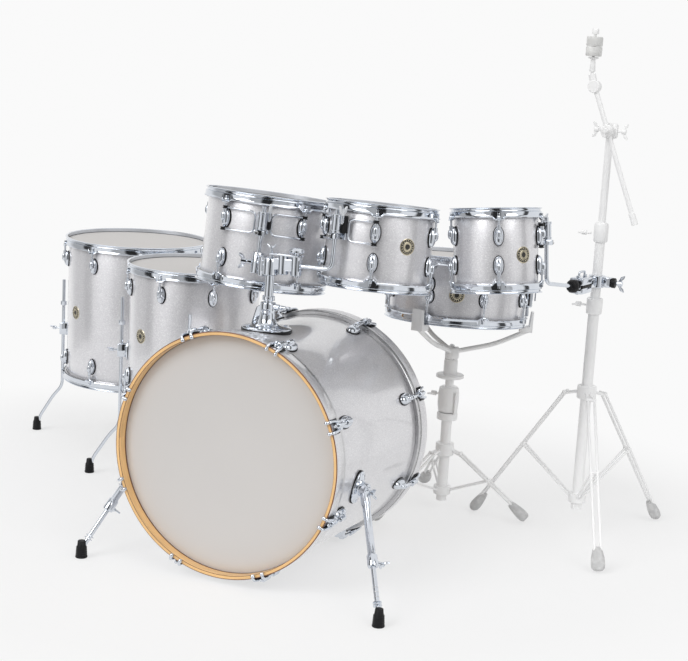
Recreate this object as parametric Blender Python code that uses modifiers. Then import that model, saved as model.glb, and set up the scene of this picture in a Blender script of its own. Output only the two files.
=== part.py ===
"""Drum kit: seven lacquered drums with their fittings, feet and two stands.

Metres, +Z up.  The bass drum's front head faces -Y and the player sits at +Y.
Each drum is modelled about its own axis and laid out by a placement matrix.
An azimuth is an angle round a drum, from -Y (the audience) towards +X.
"""
import math

import bmesh
import bpy
from mathutils import Matrix, Vector

for leftover in list(bpy.data.objects):
    bpy.data.objects.remove(leftover, do_unlink=True)

GAP = 0.0004                    # clearance between pieces that touch
TAU = 2.0 * math.pi
UP = Vector((0.0, 0.0, 1.0))
SMOOTH_OVER = math.radians(35.0)
ORIGIN = Vector((-0.2049, 0.6174, 0.0))   # kit's middle, measured from the bass drum's front

# Bass drum, 22 by 18 inches
BASS_RADIUS = 0.2775
BASS_LENGTH = 0.522
BASS_SHELL_LENGTH = 0.466
BASS_WALL = 0.0075
BASS_HOOP_IN = 0.2797
BASS_HOOP_OUT = 0.2890
BASS_HOOP_WIDTH = 0.0375
BASS_RING_WIDTH = 0.0110
BASS_RING_OUT = 0.2872
BASS_TILT = math.radians(1.75)
BASS_SEGMENTS = 24
BASS_LUGS = 8
BASS_LUG_START = TAU / 16
BASS_LUG_DEPTH = 0.0900         # lug centre behind the hoop's face
BASS_ROD_RADIUS = 0.2965
SPUR_ANGLE = math.radians(-11.4)
SPUR_DEPTH = 0.1500
SPUR_TUBE_SHARE = 0.62
SPUR_FEET = {"right": (0.431, -0.046), "left": (-0.364, -0.020)}
SPUR_HINGE_OUT = 0.0205         # fold axis outside the shell
SPUR_TUBE_RADIUS = 0.0092
SPUR_LEG_RADIUS = 0.0060
SPUR_FOOT_HEIGHT = 0.0500
KNUCKLE_RADIUS = 0.0160
KNUCKLE_LENGTH = 0.0144
BASS_LUG_HALF_WIDTH = 0.0140
BASS_LUG_HALF_HEIGHT = 0.0270
BASS_LUG_OUT = 0.0240
BASS_ROD_THICK = 0.0035
CLAW_WIDTH = 0.0300
CLAW_BACK = -0.0330             # claw's rear end behind the hoop's face
BASS_LUG_SHOULDER = 0.9074

# Hoops, heads, lugs and rods of the other drums, as offsets from the shell
INCH = 0.0254
DRUM_WALL = 0.0062
DRUM_EDGE = 0.0120              # hoop's edge beyond the bearing edge
RING_IN = 0.0006
RING_OUT = 0.0060
RING_DEPTH = 0.0110
HOOP_WALL_IN = 0.0034
HOOP_NECK = 0.0084
HOOP_LIP = 0.0110
HOOP_FLANGE = 0.0150
HOOP_DEPTH = 0.0200             # from the bearing edge to the flange
FILM = 0.0010
ROD_OFFSET = 0.0114
ROD_RADIUS = 0.0027
ROD_SIDES = 3
ROD_SEAT = 0.0005                # how far a rod's end stands in the flange
LUG_FROM_EDGE = 0.0545
LUG_HALF_HEIGHT = 0.0215
LUG_HALF_WIDTH = 0.0115
LUG_DEPTH = 0.0200
LUG_SIDES = 6
LUG_TAPER = 0.62
LUG_SHOULDER = 0.90             # share of a lug's half height where its rod ends
SNARE_LUG_HALF = 0.0330
STRAINER_AZIMUTH = 110.5
THROW_OFF_Z = -0.0120
LEVER_OUT = 0.0260
LEVER_Z = -0.0180
WIRE_LENGTH = 0.3000
WIRE_WIDTH = 0.0420
TOM_SEGMENTS = 16
FLOOR_SEGMENTS = 16

# Hanger rods, legs and the tom holder
ARM_RADIUS = 0.0052
ARM_OFFSET = 0.0300             # hanger rod's axis outside the shell
ROD_BEND = 0.0120               # how far from its corner a hanger rod starts to bend
TOM_LUGS = 5
PLATE_IN = 0.0085
PLATE_THICK = 0.0025
BAND_BENDS = 4
BAND_HEIGHT = 0.0068
BAND_RISE = 0.0256              # bands' middles above and below the lugs' middle
BAND_END = 0.0045               # short of the rod, so that the band passes it
CLAMP_WIDTH = 0.0300
CLAMP_HIGH = 0.0400
CLAMP_BEYOND = 0.0120           # metal outside the rod's axis
LEG_RADIUS = 0.0048
LEG_OFFSET = 0.0220             # rod's axis outside the shell
LEG_ABOVE = 0.1500              # rod's length above its bracket
LEG_KNEE = 0.1450               # height of the bend above the floor
LEG_FOOT_RADIUS = 0.0135
LEG_FOOT_HEIGHT = 0.0400
LEG_BRACKET = (0.0350, 0.0260, 0.0400)
POST_DEPTH = 0.1750
POST_RADIUS = 0.0108
POST_INSIDE = 0.0900            # post's length inside the bass drum
HEAD_HEIGHT = 0.1520            # post's clamp head above the shell
HOLDER_NECK = 0.0632
HOLDER_FOOT = 0.0580
SOCKET_OUT = 0.0340             # tilt joint's middle from the post's axis
SOCKET_RADIUS = 0.0155
SOCKET_MOUTHS = {"tom12": 0.0120, "tom10": 0.0410}   # beyond that middle
HOUSING_RADIUS = 0.0145         # sleeve round the bend of the largest tom's rod
HOUSING_LENGTH = 0.0500
# tom: (hanger's azimuth, clamp's height, rod's low and high ends from the drum's middle)
HANGERS = {"tom12": (23.0, 0.054, -0.047, 0.088), "tom10": (-17.0, 0.046, -0.061, 0.080),
           "tom8": (132.0, 0.046, -0.082, 0.078)}

# Stands
TUBE_SIDES = 8
CYMBAL_LOW = 0.0143
CYMBAL_MIDDLE = 0.0127
CYMBAL_TOP = 0.0095
CLAMP_HEIGHT = 0.6850           # smallest tom's clamp above the floor
TOM8_BALL = (0.580, 0.700, 0.687)
CYMBAL_BORE_FLOOR = 0.3000
CYMBAL_LOWER_TOP = 0.6400
CYMBAL_MIDDLE_FOOT = 0.4000
CYMBAL_MIDDLE_TOP = 0.8350
CYMBAL_UPPER_FOOT = 0.5600
TILTER_HEIGHT = 1.0680
BOOM_RADIUS = 0.0062
BOOM_TAIL = (0.093, 0.0, -0.227)
BOOM_AHEAD = 0.1150
FELT_RADIUS = 0.0205
FELT_HEIGHT = 0.0500
SNARE_LOW = 0.0143
SNARE_TOP = 0.0115
SNARE_LOWER_TOP = 0.3450
SNARE_BORE_FLOOR = 0.1200
SNARE_UPPER_FOOT = 0.1600
SNARE_HUB = 0.4450              # basket's tilt axis
BASKET_DROP = 0.0850            # arms' block below the snare drum's hoop
BASKET_AZIMUTHS = (-7.0, 113.0, 233.0)
BASKET_ARM = 0.0070

kit = bpy.data.collections.new("drum_kit")
helpers = bpy.data.collections.new("drum_kit_cutters")
for group in (kit, helpers):
    bpy.context.scene.collection.children.link(group)

FINISH = {
    "sparkle": ((0.55, 0.54, 0.53), 0.35, 0.30),
    "chrome": ((0.80, 0.81, 0.83), 1.0, 0.12),
    "maple": ((0.76, 0.50, 0.24), 0.0, 0.35),
    "coated": ((0.84, 0.83, 0.80), 0.0, 0.60),
    "clear": ((0.70, 0.72, 0.73), 0.0, 0.20),
    "pale": ((0.80, 0.80, 0.80), 0.2, 0.40),
    "steel": ((0.62, 0.62, 0.63), 1.0, 0.35),
}


# Placement

def turn(angle, axis="Z"):
    return Matrix.Rotation(angle, 4, axis)


def shift(*offset):
    return Matrix.Translation(Vector(*offset) if len(offset) == 1 else Vector(offset))


def at_azimuth(degrees):
    """Brings local +X to the azimuth."""
    return turn(math.radians(degrees) - math.pi / 2.0)


def facing(direction, point):
    """Frame at a point with its Z along a direction."""
    return shift(point) @ Vector(direction).to_track_quat("Z", "X").to_matrix().to_4x4()


def standing(x, y, z, lateral=0.0, forward=0.0):
    """Drum centre, leaning sideways and towards the player by the two angles."""
    lean = turn(math.radians(lateral), "Y") @ turn(-math.radians(forward), "X")
    return shift(Vector((x, y, z)) - ORIGIN) @ lean


def clear_bore(radius, sides):
    """Radius of a bore with so many sides that a bar of that radius turns in freely."""
    return radius / math.cos(math.pi / sides) + GAP


def evenly(count, start=0.0):
    return [start + 360.0 * k / count for k in range(count)]


RISE = BASS_LENGTH * math.sin(BASS_TILT)
PLACE_BASS = (shift(Vector((0.0, 0.0, BASS_HOOP_OUT * math.cos(BASS_TILT) + RISE)) - ORIGIN)
              @ turn(math.pi / 2.0 - BASS_TILT, "X"))
BASS_REAR = PLACE_BASS @ shift(0, 0, -BASS_LENGTH) @ turn(math.pi, "X")
HOLDER = PLACE_BASS @ shift(0, BASS_RADIUS, -POST_DEPTH) @ turn(-math.pi / 2.0, "X")
TOM12 = standing(-0.124, 0.394, 0.754, 2.2, 5.7)
TOM10 = standing(0.200, 0.352, 0.779, 0.4, 5.6)
TOM8 = standing(0.445, 0.490, 0.783, -6.6, 4.7)
SNARE = standing(0.240, 0.790, 0.633, -0.6, 4.0)
FLOOR14 = standing(-0.503, 0.707, 0.4267)
FLOOR16 = standing(-0.872, 0.993, 0.4038)
SNARE_AXIS = shift(Vector((0.212, 0.850, 0.0)) - ORIGIN)
CYMBAL_AXIS = shift(Vector((0.597, 0.848, 0.0)) - ORIGIN)


# Building blocks: each returns an object standing ready as a helper

def helper(name, mesh, place):
    made = bpy.data.objects.new(name, mesh)
    made.matrix_world = place
    made.hide_render = True
    made.display_type = "WIRE"
    helpers.objects.link(made)
    return made


def turned(name, profile, segments, place):
    """Profile in (radius, height) spun about local Z; a ring unless it ends on the axis."""
    mesh = bpy.data.meshes.new(name)
    edges = [(k, k + 1) for k in range(len(profile) - 1)]
    if profile[0][0] > 0.0:
        edges.append((len(profile) - 1, 0))
    mesh.from_pydata([(radius, 0.0, height) for radius, height in profile], edges, [])
    made = helper(name, mesh, place)
    spin = made.modifiers.new("spin", "SCREW")
    spin.steps = spin.render_steps = segments
    spin.use_merge_vertices = True
    spin.merge_threshold = 0.00001
    return made


def cones(name, specs, place):
    """Cylinders, cones or ovals: (matrix, radius at foot, radius at tip, length, sides)."""
    shape = bmesh.new()
    for matrix, low, high, length, sides in specs:
        bmesh.ops.create_cone(shape, cap_ends=True, segments=sides, radius1=low, radius2=high,
                              depth=length, matrix=matrix @ shift(0, 0, 0.5 * length))
    mesh = bpy.data.meshes.new(name)
    shape.to_mesh(mesh)
    shape.free()
    return helper(name, mesh, place)


def boxes(name, specs, place):
    """Cuboids: (matrix of the centre, (x, y, z) size)."""
    shape = bmesh.new()
    for matrix, size in specs:
        bmesh.ops.create_cube(shape, size=1.0, matrix=matrix @ Matrix.Diagonal((*size, 1.0)))
    mesh = bpy.data.meshes.new(name)
    shape.to_mesh(mesh)
    shape.free()
    return helper(name, mesh, place)


def meshed(name, curve):
    """Mesh of a curve, its caps welded on."""
    guide = bpy.data.objects.new(name + "_curve", curve)
    helpers.objects.link(guide)
    bpy.context.view_layer.update()
    mesh = bpy.data.meshes.new_from_object(guide.evaluated_get(bpy.context.evaluated_depsgraph_get()))
    bpy.data.objects.remove(guide, do_unlink=True)
    shape = bmesh.new()
    shape.from_mesh(mesh)
    bmesh.ops.remove_doubles(shape, verts=shape.verts, dist=0.00001)
    bmesh.ops.recalc_face_normals(shape, faces=shape.faces)
    shape.to_mesh(mesh)
    shape.free()
    return mesh


def flat(name, outline, thickness, place, copies):
    """Plate cut to an outline in local XY, once for each copy's matrix."""
    curve = bpy.data.curves.new(name, "CURVE")
    curve.dimensions = "2D"
    curve.fill_mode = "BOTH"
    curve.extrude = 0.5 * thickness
    line = curve.splines.new("POLY")
    line.use_cyclic_u = True
    line.points.add(len(outline) - 1)
    for target, source in zip(line.points, outline):
        target.co = (*source, 0.0, 1.0)
    plate = meshed(name, curve)
    shape = bmesh.new()
    for copy in copies:
        first = len(shape.verts)
        shape.from_mesh(plate)
        bmesh.ops.transform(shape, matrix=copy, verts=shape.verts[first:])
    mesh = bpy.data.meshes.new(name)
    shape.to_mesh(mesh)
    shape.free()
    return helper(name, mesh, place)


def wire(name, points, radius, place, resolution=1):
    """Round bar along points."""
    curve = bpy.data.curves.new(name, "CURVE")
    curve.dimensions = "3D"
    curve.bevel_depth = radius
    curve.bevel_resolution = resolution
    curve.use_fill_caps = True
    line = curve.splines.new("POLY")
    line.points.add(len(points) - 1)
    for target, source in zip(line.points, points):
        target.co = (*source, 1.0)
    return helper(name, meshed(name, curve), place)


def piece(base, finish, add=(), cut=(), parent=None):
    """Promote a helper to a named part, with solids joined on and cut away."""
    helpers.objects.unlink(base)
    kit.objects.link(base)
    base.hide_render = False
    base.display_type = "TEXTURED"
    colour, metallic, roughness = FINISH[finish]
    paint = bpy.data.materials.new("mat_" + base.name)
    paint.use_nodes = True
    shader = paint.node_tree.nodes["Principled BSDF"]
    shader.inputs["Base Color"].default_value = (*colour, 1.0)
    shader.inputs["Metallic"].default_value = metallic
    shader.inputs["Roughness"].default_value = roughness
    base.data.materials.append(paint)
    for operation, solids in (("UNION", add), ("DIFFERENCE", cut)):
        for solid in solids:
            joined = base.modifiers.new(solid.name, "BOOLEAN")
            joined.operation = operation
            joined.solver = "EXACT"
            joined.object = solid
    base.data.shade_smooth()
    base.data.set_sharp_from_angle(angle=SMOOTH_OVER)
    if parent is not None:
        base.parent = parent
        base.matrix_parent_inverse = parent.matrix_world.inverted()
    return base


def pivot(name, place, parent=None):
    """Empty on a joint's axis that carries the moving pieces."""
    made = bpy.data.objects.new(name, None)
    made.empty_display_size = 0.03
    kit.objects.link(made)
    if parent is not None:
        made.parent = parent
        made.matrix_parent_inverse = parent.matrix_world.inverted()
    made.matrix_world = place
    bpy.context.view_layer.update()
    return made


# Shapes shared by the drums

def lug(azimuth, radius, height, half_width, half_height, depth, root=0.0052):
    """Oval lug standing out of the shell, long side along the drum's axis."""
    out = at_azimuth(azimuth) @ shift(radius - root, 0, height) @ turn(math.pi / 2.0, "Y")
    oval = Matrix.Diagonal((half_height, half_width, 1.0, 1.0))
    return (out @ oval @ turn(TAU / 12), 1.0, LUG_TAPER, depth + root, LUG_SIDES)


def rod(azimuth, radius, low, high, thick=ROD_RADIUS):
    return (at_azimuth(azimuth) @ shift(radius, 0, low), thick, thick, high - low, ROD_SIDES)


def head_profile(radius, edge):
    """Film over the bearing edge, turned down into its flesh ring."""
    low = edge + GAP
    outer = radius + RING_OUT
    return [(0.0, low + FILM), (outer, low + FILM), (outer, low - RING_DEPTH), (radius + RING_IN, low),
            (0.0, low)]


def hoop_profile(radius, edge):
    """Flanged metal hoop that presses on the flesh ring."""
    high = edge + DRUM_EDGE
    seat = edge + FILM + 2.0 * GAP
    low = edge - HOOP_DEPTH
    inner = radius + HOOP_WALL_IN
    outside = radius + RING_OUT + GAP
    return [(inner, high), (radius + HOOP_LIP, high), (radius + HOOP_NECK, high - 0.005),
            (radius + HOOP_NECK, low + 0.006), (radius + HOOP_FLANGE, low),
            (outside, low), (outside, seat), (inner, seat)]


def tube_profile(outer, inner, high, low):
    return [(inner, high), (outer, high), (outer, low), (inner, low)]


def drum(tag, radius, half, place, lugs, segments, parent, add=(), cut=(), long_lugs=False,
         closed_bottom=False):
    """Shell with its lugs, and at each end a head and a hoop with its rods."""
    row = half - LUG_FROM_EDGE
    end = row + LUG_HALF_HEIGHT * LUG_SHOULDER
    levels = ((row, LUG_HALF_HEIGHT), (-row, LUG_HALF_HEIGHT))
    if long_lugs:
        levels = ((0.0, SNARE_LUG_HALF),)
        end = SNARE_LUG_HALF * LUG_SHOULDER
    lug_row = cones(f"{tag}_lugs", [lug(a, radius, z, LUG_HALF_WIDTH, tall, LUG_DEPTH)
                                    for z, tall in levels for a in lugs], place)
    shell = turned(f"{tag}_shell", tube_profile(radius, radius - DRUM_WALL, half, -half), segments, place)
    piece(shell, "sparkle", add=[lug_row, *add], cut=cut, parent=parent)
    for side, flip in (("batter", Matrix()), ("resonant", turn(math.pi, "X"))):
        turns = lugs if side == "batter" else [180.0 - a for a in lugs]
        bars = [rod(a, radius + ROD_OFFSET, end + GAP, half - HOOP_DEPTH + ROD_SEAT) for a in turns]
        seat = place @ flip
        profile = hoop_profile(radius, half)
        if side == "resonant" and closed_bottom:
            film = half + FILM + 2.0 * GAP
            profile = [(0.0, film + FILM), (profile[0][0], film + FILM), *profile[:-1], (0.0, film)]
        else:
            finish = "coated" if side == "batter" else "clear"
            piece(turned(f"{tag}_{side}_head", head_profile(radius, half), segments, seat), finish,
                  parent=parent)
        piece(turned(f"{tag}_{side}_hoop", profile, segments, seat), "chrome",
              add=[cones(f"{tag}_{side}_rods", bars, seat)], parent=parent)


# Bass drum

def bass_claw_outline():
    """Claw seen along the hoop: hook over the face, back and rod ear."""
    tip = BASS_HOOP_OUT - 0.0085
    root = BASS_HOOP_OUT - 0.0030
    ear = BASS_HOOP_OUT + 0.0125
    nose = BASS_HOOP_OUT + 0.0050
    face = 0.0028
    return [(tip, face), (tip, -0.0005), (root, -0.0005), (root, CLAW_BACK), (ear, CLAW_BACK),
            (ear, CLAW_BACK + 0.0090), (nose, face)]


def holder_bore(name):
    """Hole for the tom holder's post, through its base and the bass drum's shell."""
    wide = POST_RADIUS + GAP
    return cones(name, [(shift(0, 0, -0.05), wide, wide, 0.2, TUBE_SIDES)], HOLDER)


def bass_drum():
    edge = 0.5 * (BASS_LENGTH - BASS_SHELL_LENGTH)
    lugs = evenly(BASS_LUGS, math.degrees(BASS_LUG_START))
    rows = [lug(a, BASS_RADIUS, z, BASS_LUG_HALF_WIDTH, BASS_LUG_HALF_HEIGHT, BASS_LUG_OUT)
            for z in (-BASS_LUG_DEPTH, BASS_LUG_DEPTH - BASS_LENGTH) for a in lugs]
    brackets = []
    for angle in (SPUR_ANGLE, math.pi - SPUR_ANGLE):
        out = turn(angle) @ shift(BASS_RADIUS - 0.004, 0, -SPUR_DEPTH) @ turn(math.pi / 2.0, "Y")
        brackets.append((out, 0.030, 0.020, 0.016, 10))
    wall = tube_profile(BASS_RADIUS, BASS_RADIUS - BASS_WALL, -edge, edge - BASS_LENGTH)
    shell = turned("bass_shell", wall, BASS_SEGMENTS, PLACE_BASS)
    piece(shell, "sparkle", add=[cones("bass_lugs", rows, PLACE_BASS),
                                 cones("bass_spur_brackets", brackets, PLACE_BASS)],
          cut=[holder_bore("bass_holder_bore")])
    rim = tube_profile(BASS_HOOP_OUT, BASS_HOOP_IN, 0.0, -BASS_HOOP_WIDTH)
    low = GAP - edge
    behind = -BASS_HOOP_WIDTH - GAP
    film = [(0.0, low + 0.0012), (BASS_HOOP_IN - GAP, low + 0.0012), (BASS_HOOP_IN - GAP, behind),
            (BASS_RING_OUT, behind), (BASS_RING_OUT, behind - BASS_RING_WIDTH),
            (BASS_RADIUS + GAP, behind - BASS_RING_WIDTH), (BASS_RADIUS + GAP, low), (0.0, low)]
    claw_turns = [at_azimuth(a) @ turn(math.pi / 2.0, "X") for a in lugs]
    rod_foot = BASS_LUG_SHOULDER * BASS_LUG_HALF_HEIGHT + GAP - BASS_LUG_DEPTH
    bars = [rod(a, BASS_ROD_RADIUS, rod_foot, CLAW_BACK + 0.0010, BASS_ROD_THICK) for a in lugs]
    for end, place in (("front", PLACE_BASS), ("rear", BASS_REAR)):
        piece(turned(f"bass_{end}_hoop", rim, BASS_SEGMENTS, place), "maple",
              add=[flat(f"bass_{end}_claws", bass_claw_outline(), CLAW_WIDTH, place, claw_turns),
                   cones(f"bass_{end}_rods", bars, place)])
        piece(turned(f"bass_{end}_head", film, BASS_SEGMENTS, place), "coated")


def foot_cone(name, place, radius, height):
    """Tapered rubber foot standing on local Z = 0."""
    return cones(name, [(Matrix(), radius, 0.62 * radius, height, 8)], place)


def spur(side):
    """Tube that folds on its knuckle, and the leg that slides in it."""
    angle = SPUR_ANGLE if side == "right" else math.pi - SPUR_ANGLE
    out = PLACE_BASS @ turn(angle)
    hinge = out @ Vector((BASS_RADIUS + SPUR_HINGE_OUT, 0, -SPUR_DEPTH))
    outward = out.to_3x3() @ Vector((1, 0, 0))
    floor_point = Vector((*SPUR_FEET[side], 0.0)) - ORIGIN
    tip = floor_point + 0.022 * UP
    along = (tip - hinge).normalized()
    joint = hinge.lerp(tip, SPUR_TUBE_SHARE)
    start = joint - 0.070 * along
    tube_frame = facing(along, hinge)
    reach = (joint - hinge).length
    pin = facing(outward, hinge - 0.5 * KNUCKLE_LENGTH * outward)
    knuckle = cones(f"spur_{side}_knuckle", [(pin, KNUCKLE_RADIUS, KNUCKLE_RADIUS, KNUCKLE_LENGTH, 10)],
                    Matrix())
    collar = cones(f"spur_{side}_collar", [(shift(0, 0, reach - 0.028), 0.0125, 0.0125, 0.027, TUBE_SIDES)],
                   tube_frame)
    wide = SPUR_LEG_RADIUS + 0.0005
    bore = cones(f"spur_{side}_bore", [(shift(0, 0, reach - 0.150), wide, wide, 0.170, TUBE_SIDES)],
                 tube_frame)
    carrier = pivot(f"spur_{side}_hinge", facing(outward, hinge))
    tube = cones(f"spur_{side}_tube", [(Matrix(), SPUR_TUBE_RADIUS, SPUR_TUBE_RADIUS, reach, TUBE_SIDES)],
                 tube_frame)
    piece(tube, "chrome", add=[knuckle, collar], cut=[bore], parent=carrier)
    leg = cones(f"spur_{side}_leg", [(Matrix(), SPUR_LEG_RADIUS, SPUR_LEG_RADIUS, (tip - start).length,
                                      TUBE_SIDES)], facing(along, start))
    rubber = foot_cone(f"spur_{side}_rubber", shift(floor_point), 0.0140, SPUR_FOOT_HEIGHT)
    piece(leg, "chrome", add=[rubber], parent=carrier)


# Floor drums

def floor_leg(tag, number, radius, place, azimuth, clamp_z, reach):
    """Bent rod that slides in its bracket, with a rubber foot on the floor."""
    ground = -place.translation.z
    knee = ground + LEG_KNEE - clamp_z
    out = place @ at_azimuth(azimuth) @ shift(radius + LEG_OFFSET, 0, clamp_z)
    stride = reach - radius - LEG_OFFSET
    floor_z = ground - clamp_z
    path = [(0, 0, LEG_ABOVE), (0, 0, knee), (0.35 * stride, 0, knee - 0.032),
            (stride - 0.010, 0, floor_z + 0.045), (stride - 0.003, 0, floor_z + 0.020)]
    shaft = wire(f"{tag}_leg_{number}", path, LEG_RADIUS, out)
    rubber = foot_cone(f"{tag}_rubber_{number}", out @ shift(stride, 0, floor_z), LEG_FOOT_RADIUS,
                       LEG_FOOT_HEIGHT)
    piece(shaft, "chrome", add=[rubber])


def floor_drum(tag, inches, place, first_lug, leg_azimuths, clamp_z, reach):
    radius = half = 0.5 * inches * INCH
    brackets = [(at_azimuth(a) @ shift(radius + 0.0145, 0, clamp_z), LEG_BRACKET) for a in leg_azimuths]
    wide = clear_bore(LEG_RADIUS, TUBE_SIDES)
    bores = [(at_azimuth(a) @ shift(radius + LEG_OFFSET, 0, clamp_z - 0.03), wide, wide, 0.06, TUBE_SIDES)
             for a in leg_azimuths]
    drum(tag, radius, half, place, evenly(8, first_lug), FLOOR_SEGMENTS, None,
         add=[boxes(f"{tag}_brackets", brackets, place)], cut=[cones(f"{tag}_bores", bores, place)],
         closed_bottom=True)
    for number, azimuth in enumerate(leg_azimuths, 1):
        floor_leg(tag, number, radius, place, azimuth, clamp_z, reach)


# Hung toms

def hanger(tag, radius, half, place, azimuth, clamp_z, parent):
    """Two curved bands that pass over and under a pair of lugs, joined by the rod's clamp."""
    row = half - LUG_FROM_EDGE
    inner = radius + PLATE_IN
    reach = 0.5 * 360.0 / TOM_LUGS - math.degrees(BAND_END / radius)
    bends = [math.radians(azimuth - 90.0 + reach * (2.0 * k / BAND_BENDS - 1.0))
             for k in range(BAND_BENDS + 1)]
    edges = ((inner, bends), (inner + PLATE_THICK, reversed(bends)))
    outline = [(r * math.cos(a), r * math.sin(a)) for r, line in edges for a in line]
    bands = flat(f"{tag}_hanger", outline, BAND_HEIGHT, place @ shift(0, 0, row),
                 [shift(0, 0, z) for z in (-BAND_RISE, BAND_RISE)])
    at = at_azimuth(azimuth)
    bridge_size = (PLATE_THICK + 0.0030, CLAMP_WIDTH, 2.0 * BAND_RISE + 0.0040)
    bridge = boxes(f"{tag}_hanger_bridge", [(at @ shift(inner + 0.0005, 0, row), bridge_size)], place)
    deep = ARM_OFFSET + CLAMP_BEYOND - PLATE_IN
    block = boxes(f"{tag}_clamp", [(at @ shift(inner + 0.5 * deep + 0.0010, 0, clamp_z),
                                    (deep, CLAMP_WIDTH - 0.0040, CLAMP_HIGH))], place)
    wide = clear_bore(ARM_RADIUS, TUBE_SIDES)
    bore = cones(f"{tag}_clamp_bore", [(at @ shift(radius + ARM_OFFSET, 0, clamp_z - CLAMP_HIGH), wide, wide,
                                        2.0 * CLAMP_HIGH, TUBE_SIDES)], place)
    piece(bands, "chrome", add=[bridge, block], cut=[bore], parent=parent)


def arm_point(inches, place, azimuth, height):
    """Point on a tom's hanger rod axis."""
    return place @ at_azimuth(azimuth) @ Vector((0.5 * inches * INCH + ARM_OFFSET, 0, height))


def hung_tom(tag, inches, depth, place, first_lug, arm):
    radius = 0.5 * inches * INCH
    half = 0.5 * depth * INCH
    azimuth, clamp_z = HANGERS[tag][:2]
    axis = place @ at_azimuth(azimuth) @ shift(radius + ARM_OFFSET, 0, clamp_z)
    carrier = pivot(f"{tag}_swivel", axis, arm)
    drum(tag, radius, half, place, evenly(TOM_LUGS, first_lug), TOM_SEGMENTS, carrier)
    hanger(tag, radius, half, place, azimuth, clamp_z, carrier)


# Tom holder on the bass drum

def tom_holder():
    """Base on the shell, sliding post with two clamps, and the two bent arms."""
    outline = [(0.0, HOLDER_NECK), (0.0185, HOLDER_NECK), (0.0230, 0.012), (0.0400, 0.006),
               (HOLDER_FOOT, 0.003), (HOLDER_FOOT, -0.010), (0.0, -0.010)]
    base = turned("tom_holder_base", outline, 16, HOLDER)
    curve = BASS_RADIUS + GAP
    saddle = turned("tom_holder_saddle", [(0.0, 0.1), (curve, 0.1), (curve, -0.1), (0.0, -0.1)],
                    BASS_SEGMENTS, PLACE_BASS @ shift(0, 0, -POST_DEPTH))
    wing = boxes("tom_holder_wing", [(shift(0.0300, 0, HOLDER_NECK - 0.0092), (0.034, 0.012, 0.012))],
                 HOLDER)
    piece(base, "chrome", add=[wing], cut=[saddle, holder_bore("tom_holder_bore")])

    post = cones("tom_holder_post", [(shift(0, 0, -POST_INSIDE), POST_RADIUS, POST_RADIUS,
                                      HEAD_HEIGHT + POST_INSIDE + 0.010, TUBE_SIDES)], HOLDER)
    bpy.context.view_layer.update()
    carriers = {}
    top = HOLDER @ Vector((0, 0, HEAD_HEIGHT))
    wide = clear_bore(ARM_RADIUS, TUBE_SIDES)
    clamps = []
    bores = []
    for tag, inches, place in (("tom12", 12, TOM12), ("tom10", 10, TOM10)):
        azimuth, _, low, high = HANGERS[tag]
        bend = arm_point(inches, place, azimuth, low)
        outward = Vector((bend.x - top.x, bend.y - top.y, 0.0)).normalized()
        socket = Vector((top.x, top.y, bend.z)) + SOCKET_OUT * outward
        mouth = SOCKET_MOUTHS[tag]
        clamps.append((facing(outward, socket - 0.026 * outward), SOCKET_RADIUS, SOCKET_RADIUS,
                       mouth + 0.026, 10))
        bores.append((facing(outward, socket - 0.006 * outward), wide, wide, mouth + 0.012, TUBE_SIDES))
        start = socket - 0.004 * outward
        knee = bend - ROD_BEND * (bend - start).normalized()
        points = [start, knee, arm_point(inches, place, azimuth, low + ROD_BEND),
                  arm_point(inches, place, azimuth, high)]
        carriers[tag] = pivot(f"{tag}_arm_tilt", facing(outward, socket), post)
        upright = place @ at_azimuth(azimuth) @ shift(0.5 * inches * INCH + ARM_OFFSET, 0, low - 0.023)
        housing = cones(f"{tag}_housing", [(Matrix(), HOUSING_RADIUS, HOUSING_RADIUS, HOUSING_LENGTH, 10)],
                        upright)
        piece(wire(f"{tag}_arm", points, ARM_RADIUS, Matrix()), "chrome",
              add=[housing] if tag == "tom12" else [], parent=carriers[tag])
    head = cones("tom_holder_head", [(shift(0, 0, HEAD_HEIGHT - 0.026), 0.0190, 0.0190, 0.050, 10)], HOLDER)
    piece(post, "chrome", add=[head] + [cones(f"tom_holder_clamp_{k}", [c], Matrix())
                                        for k, c in enumerate(clamps)],
          cut=[cones("tom_holder_sockets", bores, Matrix())])
    return carriers


def tom8_arm(tube):
    """Bent rod, its ball and the clamp that holds them on the cymbal stand."""
    azimuth, _, low, high = HANGERS["tom8"]
    bend = arm_point(8, TOM8, azimuth, low)
    ball = Vector(TOM8_BALL) - ORIGIN
    points = [arm_point(8, TOM8, azimuth, high), arm_point(8, TOM8, azimuth, low + ROD_BEND),
              bend + ROD_BEND * (ball - bend).normalized(), ball]
    axis = CYMBAL_AXIS @ shift(0, 0, CLAMP_HEIGHT)
    towards = axis.translation - ball
    towards.z = 0.0
    towards.normalize()
    frame = towards.to_track_quat("Y", "Z").to_matrix().to_4x4()
    body = boxes("tom8_clamp_body", [(shift(axis.translation - 0.074 * towards) @ frame,
                                      (0.034, 0.140, 0.026))], Matrix())
    knob = cones("tom8_ball", [(facing(UP, ball - 0.0135 * UP), 0.0135, 0.0135, 0.027, 8)], Matrix())
    jaw = cones("tom8_jaw", [(shift(0, 0, -0.015), 0.0220, 0.0220, 0.030, TUBE_SIDES)], axis)
    wing = boxes("tom8_wing", [(shift(0.040, -0.006, 0.004), (0.046, 0.010, 0.012))], axis)
    wide = clear_bore(CYMBAL_MIDDLE, TUBE_SIDES)
    bore = cones("tom8_jaw_bore", [(shift(0, 0, -0.05), wide, wide, 0.1, TUBE_SIDES)], axis)
    carrier = pivot("tom8_arm_swing", axis, tube)
    piece(wire("tom8_arm", points, ARM_RADIUS, Matrix()), "chrome", add=[knob, body, jaw, wing], cut=[bore],
          parent=carrier)
    return carrier


# Snare drum

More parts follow.
